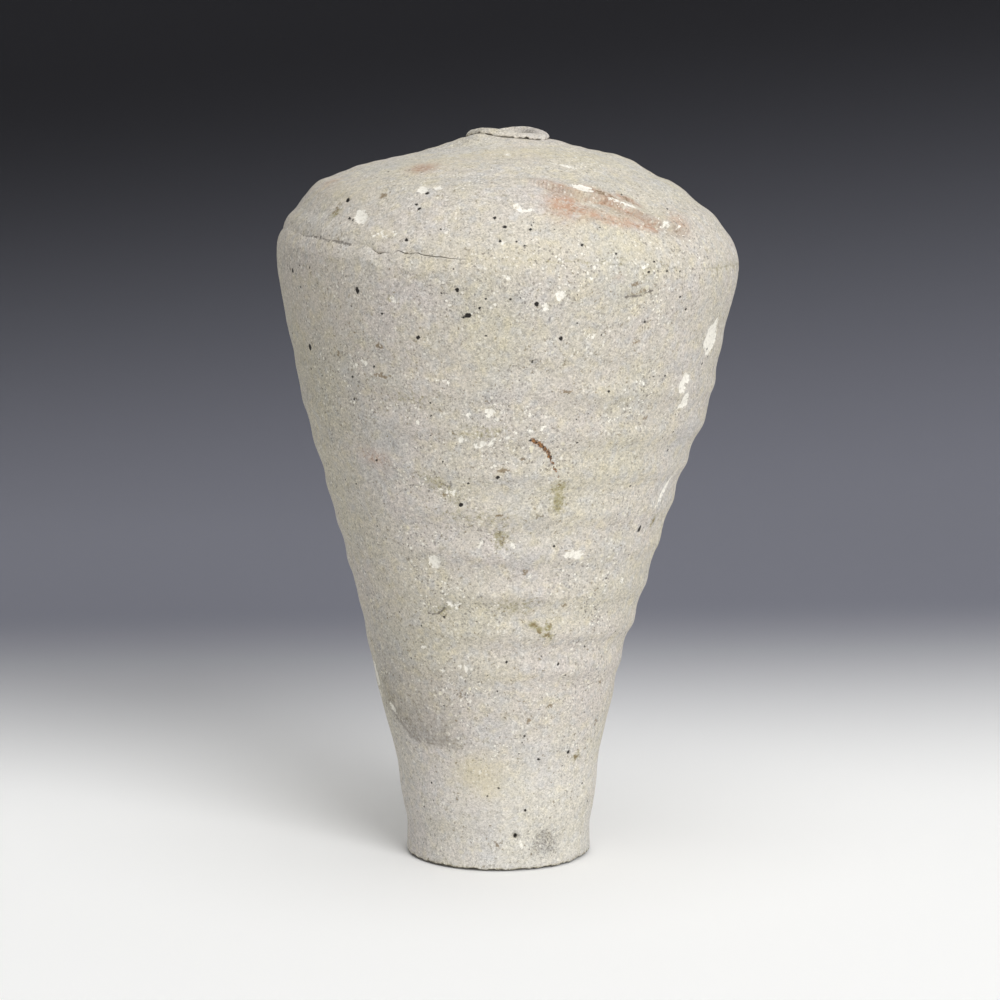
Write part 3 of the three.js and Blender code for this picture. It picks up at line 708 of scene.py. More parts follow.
pitWork = {
    "scarRagged": [(0.45, 1.7, 11)],
    "scar": (0.3, -0.3, 0.5),  # depth, and the levels of the mark between which it falls
    "scarRim": (0.08, 0.4, 0.5),  # rise, how far outside the mark, reach
    "iron": (0.15, -0.2, 0.5),
    "pinhole": (1.5, -0.2, 0.9),
    "crackAndShadowLine": (0.5, 0.45),  # depth, reach
    "rust": (0.18, 0.9),
    "ashRough": [(0.25, 1.6, 12)],
    "scorchRough": [(0.16, 1.9, 13)],
    "nicks": [(1.0, 4.5, 14), (0.6, 2.1, 15)],
    "nickCut": 0.3,
    "nickReach": 1.6,
}


# marks sunk into the skin: eased pits, bell-shaped cracks, rough patches and nicks in the foot's edge
def pitRelief():
    rim, out, reach = pitWork["scarRim"]
    relief = rim * bell(scar + out, reach)
    ragged = clayLayers(bare, pitWork["scarRagged"])
    for kind, field in (("scar", scar + ragged), ("iron", iron), ("pinhole", pinhole)):
        depth, low, high = pitWork[kind]
        relief = relief - depth * ease(field, low, high)
    for kind, far in (("crackAndShadowLine", crackAndShadowLine), ("rust", rust)):
        depth, reach = pitWork[kind]
        relief = relief - depth * bell(far, reach)
    relief = relief + skinFields["ash"] * clayLayers(bare, pitWork["ashRough"])
    relief = relief + scorch * clayLayers(bare, pitWork["scorchRough"])
    nick = sum(depth * np.maximum(clayNoise(bare, size, seed) - pitWork["nickCut"], 0)
               for depth, size, seed in pitWork["nicks"])
    return relief - nick * bell(heightGrid - footGap, pitWork["nickReach"])


# relief in mm along the normal; the foot stands flat and its worn edge draws back
relief = fingerRings() + handWork() + seamRelief() + foldRelief() + pitRelief()
undercut = skinForm["footWear"] * (1 - ease(heightGrid - footGap, *skinForm["footUndercut"]))
relief = relief * ease(heightGrid, 0, skinForm["footFlat"]) - undercut
skin = bare + relief[..., None] * bareNormal
skin[0, :, 2] = 0
print("relief worked")


# a new object in the scene
def placed(name, data):
    thing = bpy.data.objects.new(name, data)
    bpy.context.scene.collection.objects.link(thing)
    return thing


# closed mesh from rings of points: each ring is joined to the next, and a pole closes an open end;
# the shading is split along sharp rings
def ringMesh(name, rings, fields, sharp, loop=True, poles=()):
    count, cols = rings.shape[:2]
    r, c = np.meshgrid(np.arange(count if loop else count - 1), np.arange(cols), indexing="ij")
    nextRow, nextCol = (r + 1) % count, (c + 1) % cols
    quads = np.stack([r * cols + c, r * cols + nextCol, nextRow * cols + nextCol, nextRow * cols + c], axis=-1)
    quads = quads.reshape(-1, 4)
    points = rings.reshape(-1, 3)
    around = np.arange(cols)
    fans = [np.zeros((0, 3), int)]
    for row, pole in poles:
        ring, following = row * cols + around, row * cols + (around + 1) % cols
        tip = np.full(cols, len(points))
        fans.append(np.stack([tip, following, ring] if row == 0 else [ring, following, tip], axis=-1))
        points = np.concatenate([points, np.array(pole, float)[None]])
    fans = np.concatenate(fans)
    mesh = bpy.data.meshes.new(name)
    mesh.vertices.add(len(points))
    mesh.vertices.foreach_set("co", (points * toMetres).astype(np.float32).ravel())
    corners = np.concatenate([quads.ravel(), fans.ravel()]).astype(np.int32)
    mesh.loops.add(len(corners))
    mesh.loops.foreach_set("vertex_index", corners)
    mesh.polygons.add(len(quads) + len(fans))
    begins = np.concatenate([np.arange(len(quads)) * 4, quads.size + np.arange(len(fans)) * 3])
    mesh.polygons.foreach_set("loop_start", begins.astype(np.int32))
    mesh.update(calc_edges=True)
    mesh.shade_smooth()
    ends = np.zeros(len(mesh.edges) * 2, np.int32)
    mesh.edges.foreach_get("vertices", ends)
    ends = ends.reshape(-1, 2)
    ring = ends // cols
    crease = (ring[:, 0] == ring[:, 1]) & np.isin(ring[:, 0], list(sharp)) & (ends < count * cols).all(axis=1)
    mesh.attributes.new("sharp_edge", "BOOLEAN", "EDGE").data.foreach_set("value", crease)
    for key, values in fields.items():
        whole = np.concatenate([values.reshape(-1), np.full(len(points) - count * cols, blankField[key])])
        mesh.attributes.new(key, "FLOAT", "POINT").data.foreach_set("value", whole.astype(np.float32))
    mesh.validate()
    return placed(name, mesh)


# fields of some rows of the skin, with blank values for the hidden rings that lead and follow
def fieldsFor(rows, before, after):
    blank = lambda key, count: np.full((count, len(columnAngle)), blankField[key])
    return {key: np.concatenate([blank(key, before), field[rows], blank(key, after)])
            for key, field in skinFields.items()}


# rings lying straight between two rings, ends left out
def ringsBetween(first, second, count):
    share = np.linspace(0, 1, count + 2)[1:-1, None, None]
    return first + share * (second - first)


wallCourses = {
    "thickness": [(0, 14.5), (45, 14.5), (158, 11), (227, 9.5), (270, 9.5)],  # height, thickness
    "innerRows": 12,
    "jointRings": 3,
    "jointGap": 0.15,
}


# one course of the wall: its strip of skin, then the joint face, the smooth inside and the lower joint face
def wallCourse(name):
    low, high = courseRows[name]
    rows = slice(low, high + 1)
    outer = skin[rows].copy()
    if name == "upper_body":
        outer[-1, :, 2] -= curveRound(seamWork["crack"], columnAngle) / 2
    picked = np.linspace(high, low, wallCourses["innerRows"]).astype(int)
    depth = curveThrough(wallCourses["thickness"], bare[picked, :, 2])
    inner = bare[picked] - depth[..., None] * bareNormal[picked]
    inner[0, :, 2] -= wallCourses["jointGap"]
    inner[-1, :, 2] += wallCourses["jointGap"]
    joint = wallCourses["jointRings"]
    lip = ringsBetween(outer[-1], inner[0], joint)
    under = ringsBetween(inner[-1], outer[0], joint)
    rings = np.concatenate([outer, lip, inner, under])
    innerStart = len(outer) + joint
    sharp = {0, len(outer) - 1, innerStart, innerStart + len(inner) - 1}
    return ringMesh(name + "_clay", rings, fieldsFor(rows, 0, len(rings) - len(outer)), sharp)


baseDisc = {
    "underRings": 14,
    "padRadius": 19.6,
    "padRise": 4.0,
    "padRound": 5.0,
    "padSteps": 6,
    "padRings": [10.0, 5.0, 1.0],  # radii of the rings on the pad's flat top
}


# the disc the jar stands on: flat underside from the pole outwards, the skin, the joint face and a low round pad
def baseCourse():
    low, high = courseRows["base_disc"]
    rows = slice(low, high + 1)
    outer = skin[rows]
    pole = np.zeros(3)
    under = ringsBetween(pole, outer[0], baseDisc["underRings"] - 1)
    away = outward(columnAngle)
    top = skinForm["baseTop"] - wallCourses["jointGap"]
    crest = upright * (top + baseDisc["padRise"])
    arc = np.radians(np.linspace(0, 90, baseDisc["padSteps"]))[:, None, None]
    flank = upright * (top + baseDisc["padRise"] * np.sin(arc))
    flank = flank + away * (baseDisc["padRadius"] - baseDisc["padRound"] * (1 - np.cos(arc)))
    crown = crest + away * np.array(baseDisc["padRings"])[:, None, None]
    rings = np.concatenate([under, outer, flank, crown])
    outerEnd = len(under) + len(outer)
    fields = fieldsFor(rows, len(under), len(rings) - outerEnd)
    ends = [(0, pole), (len(rings) - 1, crest)]
    return ringMesh("base_disc_clay", rings, fields, {len(under), outerEnd - 1, outerEnd}, False, ends)


shoulderCap = {"holeRadius": 10.4, "seatDepth": 4, "shelfRings": 4, "innerRows": 14, "thickness": 9.5}


# the domed cap: its skin up to the lip, the seat under the lip, the hole, the inside of the dome and the seam face
def capCourse():
    low, high = courseRows["shoulder_cap"]
    rows = slice(low, high + 1)
    outer = skin[rows].copy()
    outer[0, :, 2] += curveRound(seamWork["crack"], columnAngle) / 2
    picked = np.linspace(high, low, shoulderCap["innerRows"]).astype(int)
    inner = bare[picked] - shoulderCap["thickness"] * bareNormal[picked]
    axis = np.array([skinForm["mouthAxis"], 0, 0])
    seat = outer[-1, :, 2]
    levels = np.stack([seat, seat - shoulderCap["seatDepth"], 0 * seat + inner[0, :, 2].mean()])[..., None]
    hole = axis + outward(columnAngle) * shoulderCap["holeRadius"] + upright * levels
    inner[-1, :, 2] += wallCourses["jointGap"]
    shelf = ringsBetween(outer[-1], hole[0], shoulderCap["shelfRings"])
    under = ringsBetween(inner[-1], outer[0], wallCourses["jointRings"])
    rings = np.concatenate([outer, shelf, hole, inner, under])
    holeStart = len(outer) + len(shelf)
    holeEnd = holeStart + len(hole) - 1
    sharp = {0, holeStart, holeEnd, holeEnd + len(inner)}
    return ringMesh("shoulder_cap_clay", rings, fieldsFor(rows, 0, len(rings) - len(outer)), sharp)


mouthRing = {
    "segments": 420,
    "rows": 96,
    # angle, height of the crest of the lip
    "crest": [
        (0, 268.4), (30, 269.3), (60, 269.9), (80, 269.7), (104, 269.0), (130, 268.9), (160, 269.0),
        (180, 269.2), (200, 269.4), (230, 269.8), (250, 269.5), (262, 269.1), (280, 268.5), (300, 268.0),
        (325, 267.7), (345, 267.9),
    ],
    # angle, outer radius
    "nose": [(0, 15.5), (90, 15.3), (180, 14.8), (225, 15.0), (270, 15.5), (315, 15.7)],
    "seamGap": 0.06,
    # share of the way round, radius less the nose's, share of the height from seat to crest; below the seat it
    # counts in throat units
    "roll": [
        (0.0, -5.7, -0.9), (0.09, -5.7, 0.0), (0.12, -5.0, 0.02), (0.22, -1.2, 0.02), (0.26, -0.35, 0.05),
        (0.3, 0.0, 0.17), (0.35, -0.12, 0.38), (0.41, -0.65, 0.63), (0.47, -1.5, 0.85), (0.53, -2.6, 0.98),
        (0.59, -3.9, 0.98), (0.67, -5.9, 0.62), (0.77, -7.9, -0.2), (0.9, -8.5, -1.1), (0.97, -7.6, -1.45),
        (1.0, -5.9, -1.45),
    ],
    "throatUnit": 4.0,
    "lumps": [(0.22, 6, 21), (0.10, 2.4, 22), (0.05, 1.1, 23)],
    "lumpHeights": (-2, 0.5),  # from the seat
    "tornRise": 0.02,
    "torn": [(0.4, 3.1, 24), (0.5, 1.3, 25)],
    "tornFlat": 0.2,
    "tornLevel": (0.05, 0.3),  # share of the height, reach
    "tornReach": (-3.5, -1),  # from the nose
    "ash": (0.9, 30, 32, 0.6, 0.4),  # painted shade in the mouth's hollow: strength, angle and its reach, share of the height and its reach
    "mouthShadeReach": (3.2, 4.6),
    # painted shadow under the lip's torn edge, counted from the nose
    "lipShadowReach": (-3, -1.2),
}


# the rolled lip: one closed section, placed by the seat, crest and nose at each angle, with a torn lower edge
def mouthCourse():
    angle = np.linspace(0, 360, mouthRing["segments"], endpoint=False)
    top = skin[-1]
    topAngle = np.degrees(np.arctan2(top[:, 1], top[:, 0] - skinForm["mouthAxis"])) % 360
    order = np.argsort(topAngle)
    seat = np.interp(angle, topAngle[order], top[order, 2], period=360) + mouthRing["seamGap"]
    crest = curveRound(mouthRing["crest"], angle)
    nose = curveRound(mouthRing["nose"], angle)
    roll = curveThrough(mouthRing["roll"], np.linspace(0, 1, mouthRing["rows"], endpoint=False))[:, None, :]
    level, fromNose = roll[..., 1], roll[..., 0] + 0 * nose
    height = seat + np.minimum(level, 1) * np.where(level < 0, mouthRing["throatUnit"], crest - seat)
    rings = np.array([skinForm["mouthAxis"], 0, 0]) + outward(angle) * (nose + fromNose)[..., None]
    rings = rings + upright * height[..., None]
    low, high = mouthRing["lumpHeights"]
    lumps = clayLayers(rings, mouthRing["lumps"]) * ease(height, seat + low, seat + high)
    torn = mouthRing["tornRise"] + clayLayers(rings * [1, 1, mouthRing["tornFlat"]], mouthRing["torn"])
    share, reach = mouthRing["tornLevel"]
    torn = torn * bell(level - share, reach) * ease(fromNose, *mouthRing["tornReach"])
    rings = rings + gridNormals(rings) * lumps[..., None] + upright * torn[..., None]
    fields = {key: np.full(rings.shape[:2], value) for key, value in blankField.items()}
    # painted shade on the inner wall of the lip, in the ash grey
    strength, middle, wide, share, reach = mouthRing["ash"]
    fields["ash"] = strength * bell(fromAngle(angle, middle), wide) * bell(level - share, reach)
    fields["ash"] = fields["ash"] * ease(-fromNose, *mouthRing["mouthShadeReach"])
    offEdge = 1 - ease(fromNose, *mouthRing["lipShadowReach"])
    fields["crackAndShadowLine"] = np.abs(level * (crest - seat)) + blankField["crackAndShadowLine"] * offEdge  # painted shadow along the lip's torn lower edge
    return ringMesh("mouth_ring_clay", rings, fields, set())


pieces = {name: wallCourse(name) for name in ("foot_wall", "lower_body", "upper_body")}
pieces["base_disc"] = baseCourse()
pieces["shoulder_cap"] = capCourse()
pieces["mouth_ring"] = mouthCourse()
for name, piece in pieces.items():
    print(name, sum(len(p.vertices) - 2 for p in piece.data.polygons), "triangles")


# a socket in a node tree: arithmetic on it adds Math nodes, and add() makes any other node
class Wire:
    def __init__(self, tree, socket=None):
        self.tree, self.socket = tree, socket

    def add(self, kind, settings=None, inputs=None, output=0):
        node = self.tree.nodes.new(kind)
        for key, value in (settings or {}).items():
            setattr(node, key, value)
        for key, value in (inputs or {}).items():
            if isinstance(value, Wire):
                self.tree.links.new(value.socket, node.inputs[key])
            else:
                node.inputs[key].default_value = value
        return Wire(self.tree, node.outputs[output]) if node.outputs else None

    def out(self, output):
        return Wire(self.tree, self.socket.node.outputs[output])

    def sum(self, operation, first, second, clamped=False):
        return self.add("ShaderNodeMath", {"operation": operation, "use_clamp": clamped}, {0: first, 1: second})

    def __add__(self, other): return self.sum("ADD", self, other)
    def __radd__(self, other): return self.sum("ADD", other, self)
    def __sub__(self, other): return self.sum("SUBTRACT", self, other)
    def __rsub__(self, other): return self.sum("SUBTRACT", other, self)
    def __mul__(self, other): return self.sum("MULTIPLY", self, other)
    def __rmul__(self, other): return self.sum("MULTIPLY", other, self)
    def __truediv__(self, other): return self.sum("DIVIDE", self, other)
    def __rtruediv__(self, other): return self.sum("DIVIDE", other, self)

    def clamp(self): return self.sum("ADD", self, 0.0, True)


# a new material with an empty node tree
def freshMaterial(name):
    material = bpy.data.materials.new(name)
    material.use_nodes = True
    material.node_tree.nodes.clear()
    return material, Wire(material.node_tree)


# one colour laid over another
def overlay(start, base, share, over):
    return start.add("ShaderNodeMix", {"data_type": "RGBA"}, {0: share, 6: base, 7: over}, 2)


stoneware = {
    "pinkGrey": (0.600, 0.551, 0.510),
    "oliveGrey": (0.582, 0.542, 0.446),
    "coolGrey": (0.526, 0.519, 0.508),
    "darkGrain": (0.18, 0.162, 0.142),
    "crumb": (0.84, 0.79, 0.62),
    "lime": (0.90, 0.868, 0.785),
    "iron": (0.014, 0.011, 0.009),
    "rust": (0.34, 0.145, 0.032),
    "rustDark": (0.085, 0.036, 0.012),
    "blush": (0.50, 0.300, 0.205),
    "olive": (0.31, 0.275, 0.125),
    "ochre": (0.66, 0.585, 0.39),
    "ash": (0.24, 0.222, 0.20),
    "scorch": (0.285, 0.255, 0.22),
    "stain": (0.20, 0.138, 0.068),
    # size, detail, roughness and shift of each noise
    "noises": {
        "cloud": (46.0, 3.0, 0.6, 0.0), "patch": (13.0, 3.0, 0.6, 0.31), "coolCloud": (24.0, 3.0, 0.55, 0.37),
        "tint": (3.4, 1.0, 0.5, 0.61), "warmth": (4.6, 1.0, 0.5, 0.67), "busy": (21.0, 2.0, 0.5, 0.44),
        "mottle": (3.6, 3.0, 0.65, 0.12), "grain": (0.8, 2.0, 0.7, 0.2), "finest": (0.5, 1.0, 0.5, 0.27),
        "ragged": (1.3, 2.0, 0.65, 0.52), "torn": (2.8, 3.0, 0.7, 0.57),
    },
    "sands": {"sand": (0.52, 0.15), "grit": (1.144, 0.4)},  # size and shift of single grains
    "crumble": (900.0, 0.0011),  # scale and depth of the ruffle on grains and specks
    # size of the cells, share that hold a speck, greatest radius, softness, shift
    "specks": {
        "white": (1.1, 0.36, 0.54, 0.1, 0.7), "lump": (3.6, 0.35, 0.95, 0.2, 0.83),
        "dark": (0.95, 0.45, 0.5, 0.1, 0.05), "black": (3.9, 0.27, 0.53, 0.14, 0.9),
    },
    "cloudGain": 3.6,
    # noise, level it starts from, gain, strength, colour
    "clouds": [
        ("patch", 0.52, 4.5, 0.6, "oliveGrey"), ("coolCloud", 0.52, 4.0, 0.7, "coolGrey"),
        ("tint", 0.5, 5.0, 0.5, "coolGrey"), ("warmth", 0.53, 5.0, 0.32, "ochre"),
    ],
    "busy": (0.44, 3.6, 0.9),  # level that specks gather from, gain, share of the crumb marks
    "footBand": (0.062, 0.03),  # the foot band lies below this height and fades in over this height, in metres
    "footCool": 0.3,
    # painted light: the foot band is brightened by this share, standing in for light bounced up from the pale floor
    "paintedFootLight": 0.15,
    "domeEdge": (0.232, 0.01),
    "paintedShadeDepth": 0.08,
    "shading": {"mottle": 0.3, "grain": 0.44, "finest": 0.5, "sand": 0.36, "grit": 0.12},
    # mark, body, shares of ragged and torn noise, strength
    "washes": [("ochre", 1.1, 2.0, 0.0, 0.55), ("blush", 1.0, 3.0, 2.8, 0.9), ("scorch", 0.9, 3.0, 1.5, 0.72)],
    # mark, shares of ragged and torn noise, level it starts from, gain, strength
    "blots": [("olive", 1.5, 0.6, 0.16, 1.7, 0.85), ("stain", 2.4, 0.0, 0.3, 2.6, 0.75)],
    "ashBlot": (2.2, 0.8, 0.28, 2.2),  # the same without strength, which follows the grain
    "ashGrain": 4.0,
    # share where the clay is calm, share added where it is busy, strength
    "whiteSpread": (0.35, 0.65, 0.9),
    "lumpStrength": 0.8,
    "darkSpread": (0.5, 0.5, 0.66),
    "darkThinning": (0.4, 0.3),  # fewer dark specks on the foot and on the dome
    "blackStrength": 0.85,
    "scarEdge": (2.3, 2.0, 1.2, 0.4),  # shares of ragged, torn and grain noise, softness
    "scarFill": (0.9, 1.8, 1.4),  # body, shares of ragged and grain noise
    # half width or level, share of ragged noise, softness, strength
    "rustEdge": (0.95, 2.6, 0.35, 0.92),
    "rustGrain": 6.0,
    # edge of the cracks and of the painted shadow lines
    "ironAndPinholeEdge": (0.05, 1.1, 0.3),
    "crackAndShadowEdge": (0.42, 1.3, 0.22, 0.84),
    "roughness": 0.86,
    "roughGrain": 0.16,
    "ironGloss": 0.35,
    "specular": 0.32,
    "bumps": {
        "grain": 1.0, "finest": 0.5, "mottle": 0.8, "sand": 0.25, "dark": -0.6, "black": -0.5, "lump": 0.35,
    },
    "bumpStrength": 0.7,
    "bumpHeight": 0.23,
}


# unglazed stoneware: grey clouds, fine grain, dark and white specks, then each mark by its own attribute
def stonewareMaterial():
    look = stoneware
    material, start = freshMaterial("unglazedStoneware")
    place = start.add("ShaderNodeTexCoord", output="Object")
    height = start.add("ShaderNodeSeparateXYZ", {}, {"Vector": place}, "Z")
    scale, depth = look["crumble"]
    crumble = start.add("ShaderNodeTexNoise", {}, {"Vector": place, "Scale": scale, "Detail": 1.0}, "Color")
    ruffled = start.add(
        "ShaderNodeVectorMath", {"operation": "MULTIPLY_ADD"}, {0: crumble, 1: (depth,) * 3, 2: place})
    colour = lambda key: (*look[key], 1.0)
    mark = lambda name: start.add("ShaderNodeAttribute", {"attribute_name": name}, {}, "Fac")

    # soft noise of a size in mm, moved aside so that no two layers agree
    def noise(size, detail, roughness, shift):
        moved = start.add("ShaderNodeMapping", {}, {"Vector": place, "Location": (shift, shift * 0.7, -shift)})
        return start.add("ShaderNodeTexNoise", {}, {
            "Vector": moved, "Scale": 1 / (size * toMetres), "Detail": detail, "Roughness": roughness})

    # distance from the middle of each cell, and a chance value for the cell
    def cells(size, shift):
        moved = start.add("ShaderNodeMapping", {}, {"Vector": ruffled, "Location": (shift, -shift, shift * 0.6)})
        cell = start.add("ShaderNodeTexVoronoi", {}, {"Vector": moved, "Scale": 1 / (size * toMetres)}, "Distance")
        return cell, start.add("ShaderNodeSeparateColor", {}, {"Color": cell.out("Color")}, "Red")

    # round specks in a share of the cells, larger where the chance value is larger
    def specks(size, share, radius, soft, shift):
        cell, chance = cells(size, shift)
        return (((chance - (1 - share)) * (radius / share / size) - cell) / (soft / size) + 0.5).clamp()

    layer = {name: noise(*values) for name, values in look["noises"].items()}
    layer.update({name: cells(*values)[1] for name, values in look["sands"].items()})
    layer.update({name: specks(*values) for name, values in look["specks"].items()})
    ragged, torn, grain = layer["ragged"] - 0.5, layer["torn"] - 0.5, layer["grain"] - 0.5
    edge = lambda ragShare, tornShare: ragged * ragShare + torn * tornShare if tornShare else ragged * ragShare

    # the clay itself
    cloud = ((layer["cloud"] - 0.5) * look["cloudGain"] + 0.5).clamp()
    tone = overlay(start, colour("pinkGrey"), cloud, colour("oliveGrey"))
    for name, low, gain, strength, over in look["clouds"]:
        tone = overlay(start, tone, ((layer[name] - low) * gain).clamp() * strength, colour(over))
    footTop, fade = look["footBand"]
    footBand = ((footTop - height) / fade).clamp()
    tone = overlay(start, tone, footBand * look["footCool"], colour("coolGrey"))
    # brightness of the clay: painted light on the foot band, painted shade on the upper body and the left side,
    # painted light on the dome's top, and the grain's own light and dark
    shade = 1.0 + footBand * look["paintedFootLight"] - mark("paintedShade") * look["paintedShadeDepth"]
    for name, depth in look["shading"].items():
        shade = shade + (layer[name] - 0.5) * depth
    tone = start.add("ShaderNodeVectorMath", {"operation": "SCALE"}, {0: tone, "Scale": shade})

    # washes and blots of colour
    for name, body, ragShare, tornShare, strength in look["washes"]:
        share = (mark(name) * (body + edge(ragShare, tornShare))).clamp()
        tone = overlay(start, tone, share * strength, colour(name))
    for name, ragShare, tornShare, low, gain, strength in look["blots"]:
        share = ((mark(name) + edge(ragShare, tornShare) - low) * gain).clamp()
        tone = overlay(start, tone, share * strength, colour(name))
    # ash on the foot, and painted shade inside the mouth, in the same grey
    ragShare, tornShare, low, gain = look["ashBlot"]
    share = ((mark("ash") + edge(ragShare, tornShare) - low) * gain).clamp()
    tone = overlay(start, tone, share * (grain * look["ashGrain"] + 0.5).clamp(), colour("ash"))

    # specks, which gather where the clay is busy
    low, gain, crumbShare = look["busy"]
    busy = ((layer["busy"] - low) * gain + mark("crumb") * crumbShare).clamp()
    calm, more, strength = look["whiteSpread"]
    tone = overlay(start, tone, layer["white"] * (calm + busy * more) * strength, colour("lime"))
    layer["lump"] = layer["lump"] * busy
    tone = overlay(start, tone, layer["lump"] * look["lumpStrength"], colour("crumb"))
    domeStart, fade = look["domeEdge"]
    onFoot, onDome = look["darkThinning"]
    thinned = 1.0 - footBand * onFoot - ((height - domeStart) / fade).clamp() * onDome
    calm, more, strength = look["darkSpread"]
    layer["dark"] = layer["dark"] * (calm + busy * more) * thinned
    tone = overlay(start, tone, layer["dark"] * strength, colour("darkGrain"))
    tone = overlay(start, tone, layer["black"] * look["blackStrength"], colour("iron"))

    # scars, rust, iron spots with painted shade in the pinholes, cracks and painted shadow lines
    ragShare, tornShare, grainShare, soft = look["scarEdge"]
    scarMask = ((mark("limeScar") + edge(ragShare, tornShare) + grain * grainShare) / soft + 0.5).clamp()
    body, ragShare, grainShare = look["scarFill"]
    tone = overlay(start, tone, (scarMask * (body + ragged * ragShare + grain * grainShare)).clamp(), colour("lime"))
    half, ragShare, soft, strength = look["rustEdge"]
    rustMask = ((half - mark("rustLine") + ragged * ragShare) / soft).clamp()
    rustTone = overlay(start, colour("rust"), (grain * look["rustGrain"] + 0.5).clamp(), colour("rustDark"))
    tone = overlay(start, tone, rustMask * strength, rustTone)
    # iron spots, and painted shade in the pinholes' cores
    low, ragShare, soft = look["ironAndPinholeEdge"]
    ironAndPinholeMask = ((mark("ironSpotAndPinholeShade") - low + ragged * ragShare) / soft + 0.5).clamp()
    tone = overlay(start, tone, ironAndPinholeMask, colour("iron"))
    # cracks, and painted shadow lines under the foot's edge, in the seam's groove and under the lip
    half, ragShare, soft, strength = look["crackAndShadowEdge"]
    crackAndShadowMask = ((half - mark("crackAndShadowLine") + ragged * ragShare) / soft).clamp()
    tone = overlay(start, tone, crackAndShadowMask * strength, colour("darkGrain"))

    roughness = look["roughness"] + grain * look["roughGrain"] - ironAndPinholeMask * look["ironGloss"]
    bumps = 0.0
    for name, rise in look["bumps"].items():
        bumps = layer[name] * rise + bumps
    bump = start.add("ShaderNodeBump", {}, {
        "Strength": look["bumpStrength"], "Distance": look["bumpHeight"] * toMetres, "Height": bumps})
    shader = start.add("ShaderNodeBsdfPrincipled", {}, {
        "Base Color": tone, "Roughness": roughness, "Normal": bump, "Specular IOR Level": look["specular"]})
    start.add("ShaderNodeOutputMaterial", {}, {"Surface": shader})
    return material


clay = stonewareMaterial()
for name, piece in pieces.items():
    piece.data.materials.append(clay)
    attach(piece, "root")
    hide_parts(name)
print("stoneware on", len(pieces), "pieces")

# lengths in metres
studio = {
    "floorColour": (0.96, 0.96, 0.955),
    "hazeColour": (0.203, 0.207, 0.246),
    "backColour": (0.019, 0.019, 0.022),
    "nearColour": (0.62, 0.62, 0.615),  # a greyer floor in front keeps from burning out under the lamps
    "bounceColour": (0.86, 0.86, 0.85),
    "floorRoughness": 0.9,
    "floorSpecular": 0.1,
    "floorHalfWidth": 7.0,
    "floorFront": -7.0,
    "floorBack": 0.9,
    "farEdge": 40.0,
    "sweepRadius": 0.9,
    "wallTop": 2.6,
    "stageRows": 241,
    "stageColumns": 41,
    # colour, where it begins and is full (depth plus height), and how far it comes forward on the left, a painted
    # shadow of the jar on the backdrop's left side
    "fades": [
        ("nearColour", -0.2, -0.9, 0.0), ("hazeColour", 0.03, 0.54, 0.1), ("backColour", 0.8, 1.95, 0.22),
    ],
    "shadowSlantReach": 0.7,  # the painted shadow's slant grows no further to the sides than this
    "shadeMiddle": (0.0, 0.4, 0.0),  # all three fades end between these distances from here
    "shadeReach": (3.0, 6.0),
    "worldLevel": 0.345,
    "farLevel": 0.309,  # what shows past the floor, as bright as the far floor
    # place, size, watts
    "lamps": {
        "keyLamp": ((1.34, -2.53, 1.68), 1.9, 71.0),
        "topLamp": ((0.17, -0.6, 2.87), 2.2, 22.0),
    },
    "aim": (0.0, 0.0, 0.15),
    "lens": 109.33,
    "sensor": 36.0,
    "cameraPlace": (0.0008, -1.116, 0.288),
    "cameraPitch": 7.93,
}


# one for rays that show the backdrop itself, nought for those that light the jar
def seenRay(start):
    path = start.add("ShaderNodeLightPath", output="Is Camera Ray")
    return (path + path.out("Is Glossy Ray") + path.out("Is Transmission Ray")).clamp()


# pale floor, then haze, then the dark wall
def sweepMaterial():
    material, start = freshMaterial("paleSweep")
    eased = lambda value, low, high: start.add(
        "ShaderNodeMapRange", {"interpolation_type": "SMOOTHSTEP"},
        {"Value": value, "From Min": low, "From Max": high})
    place = start.add("ShaderNodeTexCoord", output="Object")
    depth = start.add("ShaderNodeSeparateXYZ", {}, {"Vector": place}, "Y")
    widest = studio["shadowSlantReach"]
    side = start.add("ShaderNodeClamp", {}, {"Value": depth.out("X"), "Min": -widest, "Max": widest})
    away = start.add(
        "ShaderNodeVectorMath", {"operation": "DISTANCE"}, {0: place, 1: studio["shadeMiddle"]}, "Value")
    inner, outer = studio["shadeReach"]
    shade = eased(away, outer, inner)
    tone = (*studio["floorColour"], 1)
    for key, near, far, shadowSlant in studio["fades"]:
        # on the left the darker colours come forward: a painted shadow of the jar
        fade = eased(depth + depth.out("Z") - side * shadowSlant, near, far) * shade
        tone = overlay(start, tone, fade, (*studio[key], 1))
    tone = overlay(start, (*studio["bounceColour"], 1), seenRay(start), tone)
    shader = start.add("ShaderNodeBsdfPrincipled", {}, {
        "Base Color": tone, "Roughness": studio["floorRoughness"], "Specular IOR Level": studio["floorSpecular"]})
    start.add("ShaderNodeOutputMaterial", {}, {"Surface": shader})
    return material


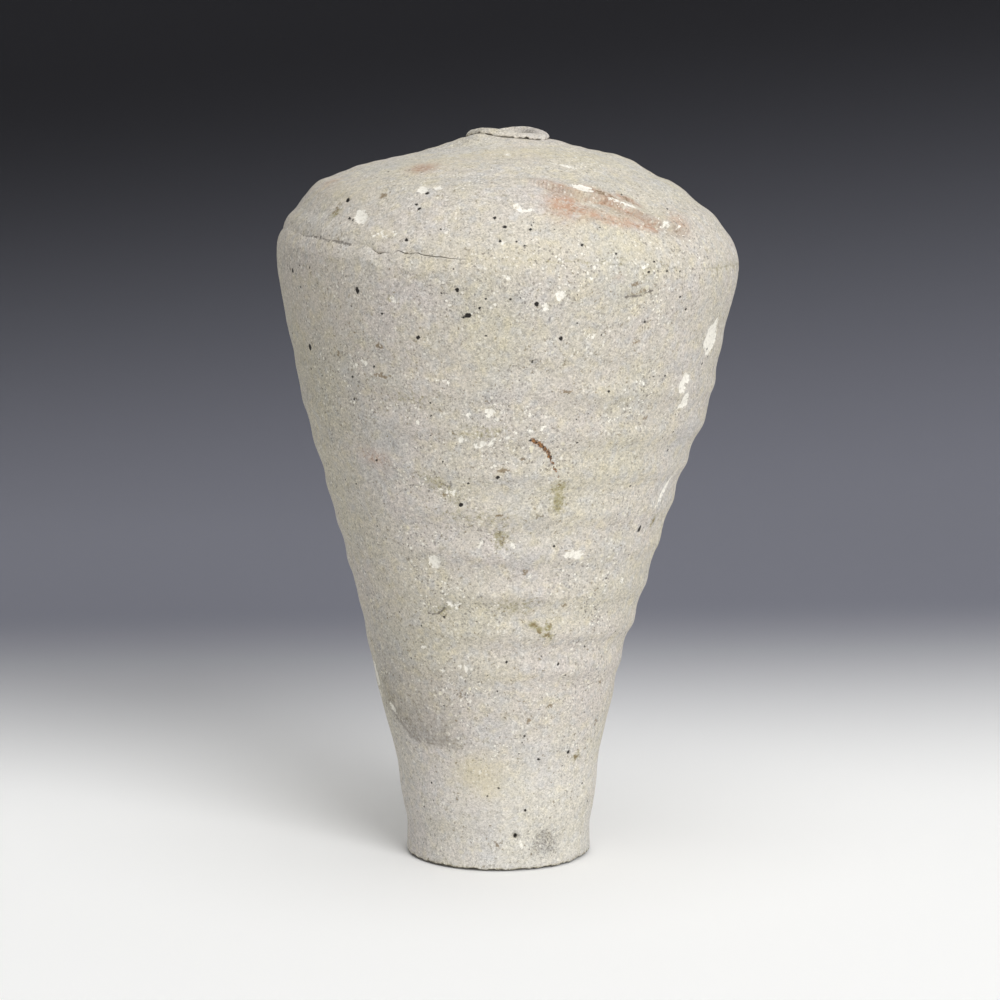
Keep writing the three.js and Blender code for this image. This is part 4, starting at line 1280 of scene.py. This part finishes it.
# floor running back into a wall: level, then a quarter turn, then upright
def sweepStage():
    rows, cols, radius = studio["stageRows"], studio["stageColumns"], studio["sweepRadius"]
    across = np.linspace(-studio["floorHalfWidth"], studio["floorHalfWidth"], cols)
    arc = radius * np.pi / 2
    end = studio["floorBack"] + arc + studio["wallTop"] - radius
    run = np.linspace(studio["floorFront"], end, rows)
    turn = np.clip((run - studio["floorBack"]) / radius, 0, np.pi / 2)
    y = np.minimum(run, studio["floorBack"]) + radius * np.sin(turn)
    z = radius * (1 - np.cos(turn)) + np.maximum(run - studio["floorBack"] - arc, 0)
    across[0], across[-1], y[0] = -studio["farEdge"], studio["farEdge"], -studio["farEdge"]  # edges lie out of sight
    points = np.stack(np.broadcast_arrays(across[None, :], y[:, None], z[:, None]), axis=-1)
    r, c = np.meshgrid(np.arange(rows - 1), np.arange(cols - 1), indexing="ij")
    corner = (r * cols + c).ravel()
    quads = np.stack([corner, corner + 1, corner + cols + 1, corner + cols], axis=-1)
    mesh = bpy.data.meshes.new("studioSweep")
    mesh.from_pydata(points.reshape(-1, 3).tolist(), [], quads.tolist())
    mesh.shade_smooth()
    mesh.materials.append(sweepMaterial())
    stage = placed("studioSweep", mesh)


# puts a lamp in its place and turns it towards the target
def aimAt(thing, place, target):
    away = np.array(place) - np.array(target)
    flat = math.hypot(away[0], away[1])
    thing.location = place
    thing.rotation_euler = (math.atan2(flat, away[2]), 0, math.atan2(away[1], away[0]) + math.pi / 2)


# two round soft lamps and an even white room
def studioLight():
    for name, (place, size, watts) in studio["lamps"].items():
        light = bpy.data.lights.new(name, "AREA")
        light.shape = "DISK"
        light.size = size
        light.energy = watts
        aimAt(placed(name, light), place, studio["aim"])
    world = bpy.data.worlds.new("softRoom")
    world.use_nodes = True
    world.node_tree.nodes.clear()
    start = Wire(world.node_tree)
    level = seenRay(start) * (studio["farLevel"] - studio["worldLevel"]) + studio["worldLevel"]
    sky = start.add("ShaderNodeBackground", {}, {"Color": (1, 1, 1, 1), "Strength": level})
    start.add("ShaderNodeOutputWorld", {}, {"Surface": sky})
    bpy.context.scene.world = world


# camera in front of the jar, pitched down a little
def photoCamera():
    lens = bpy.data.cameras.new("viewCamera")
    lens.sensor_width = studio["sensor"]
    lens.lens = studio["lens"]
    camera = placed("viewCamera", lens)
    camera.location = studio["cameraPlace"]
    camera.rotation_euler = (math.radians(90 - studio["cameraPitch"]), 0, 0)
    bpy.context.scene.camera = camera


sweepStage()
studioLight()
photoCamera()
bpy.context.scene.view_settings.view_transform = "Standard"
print("studio set")
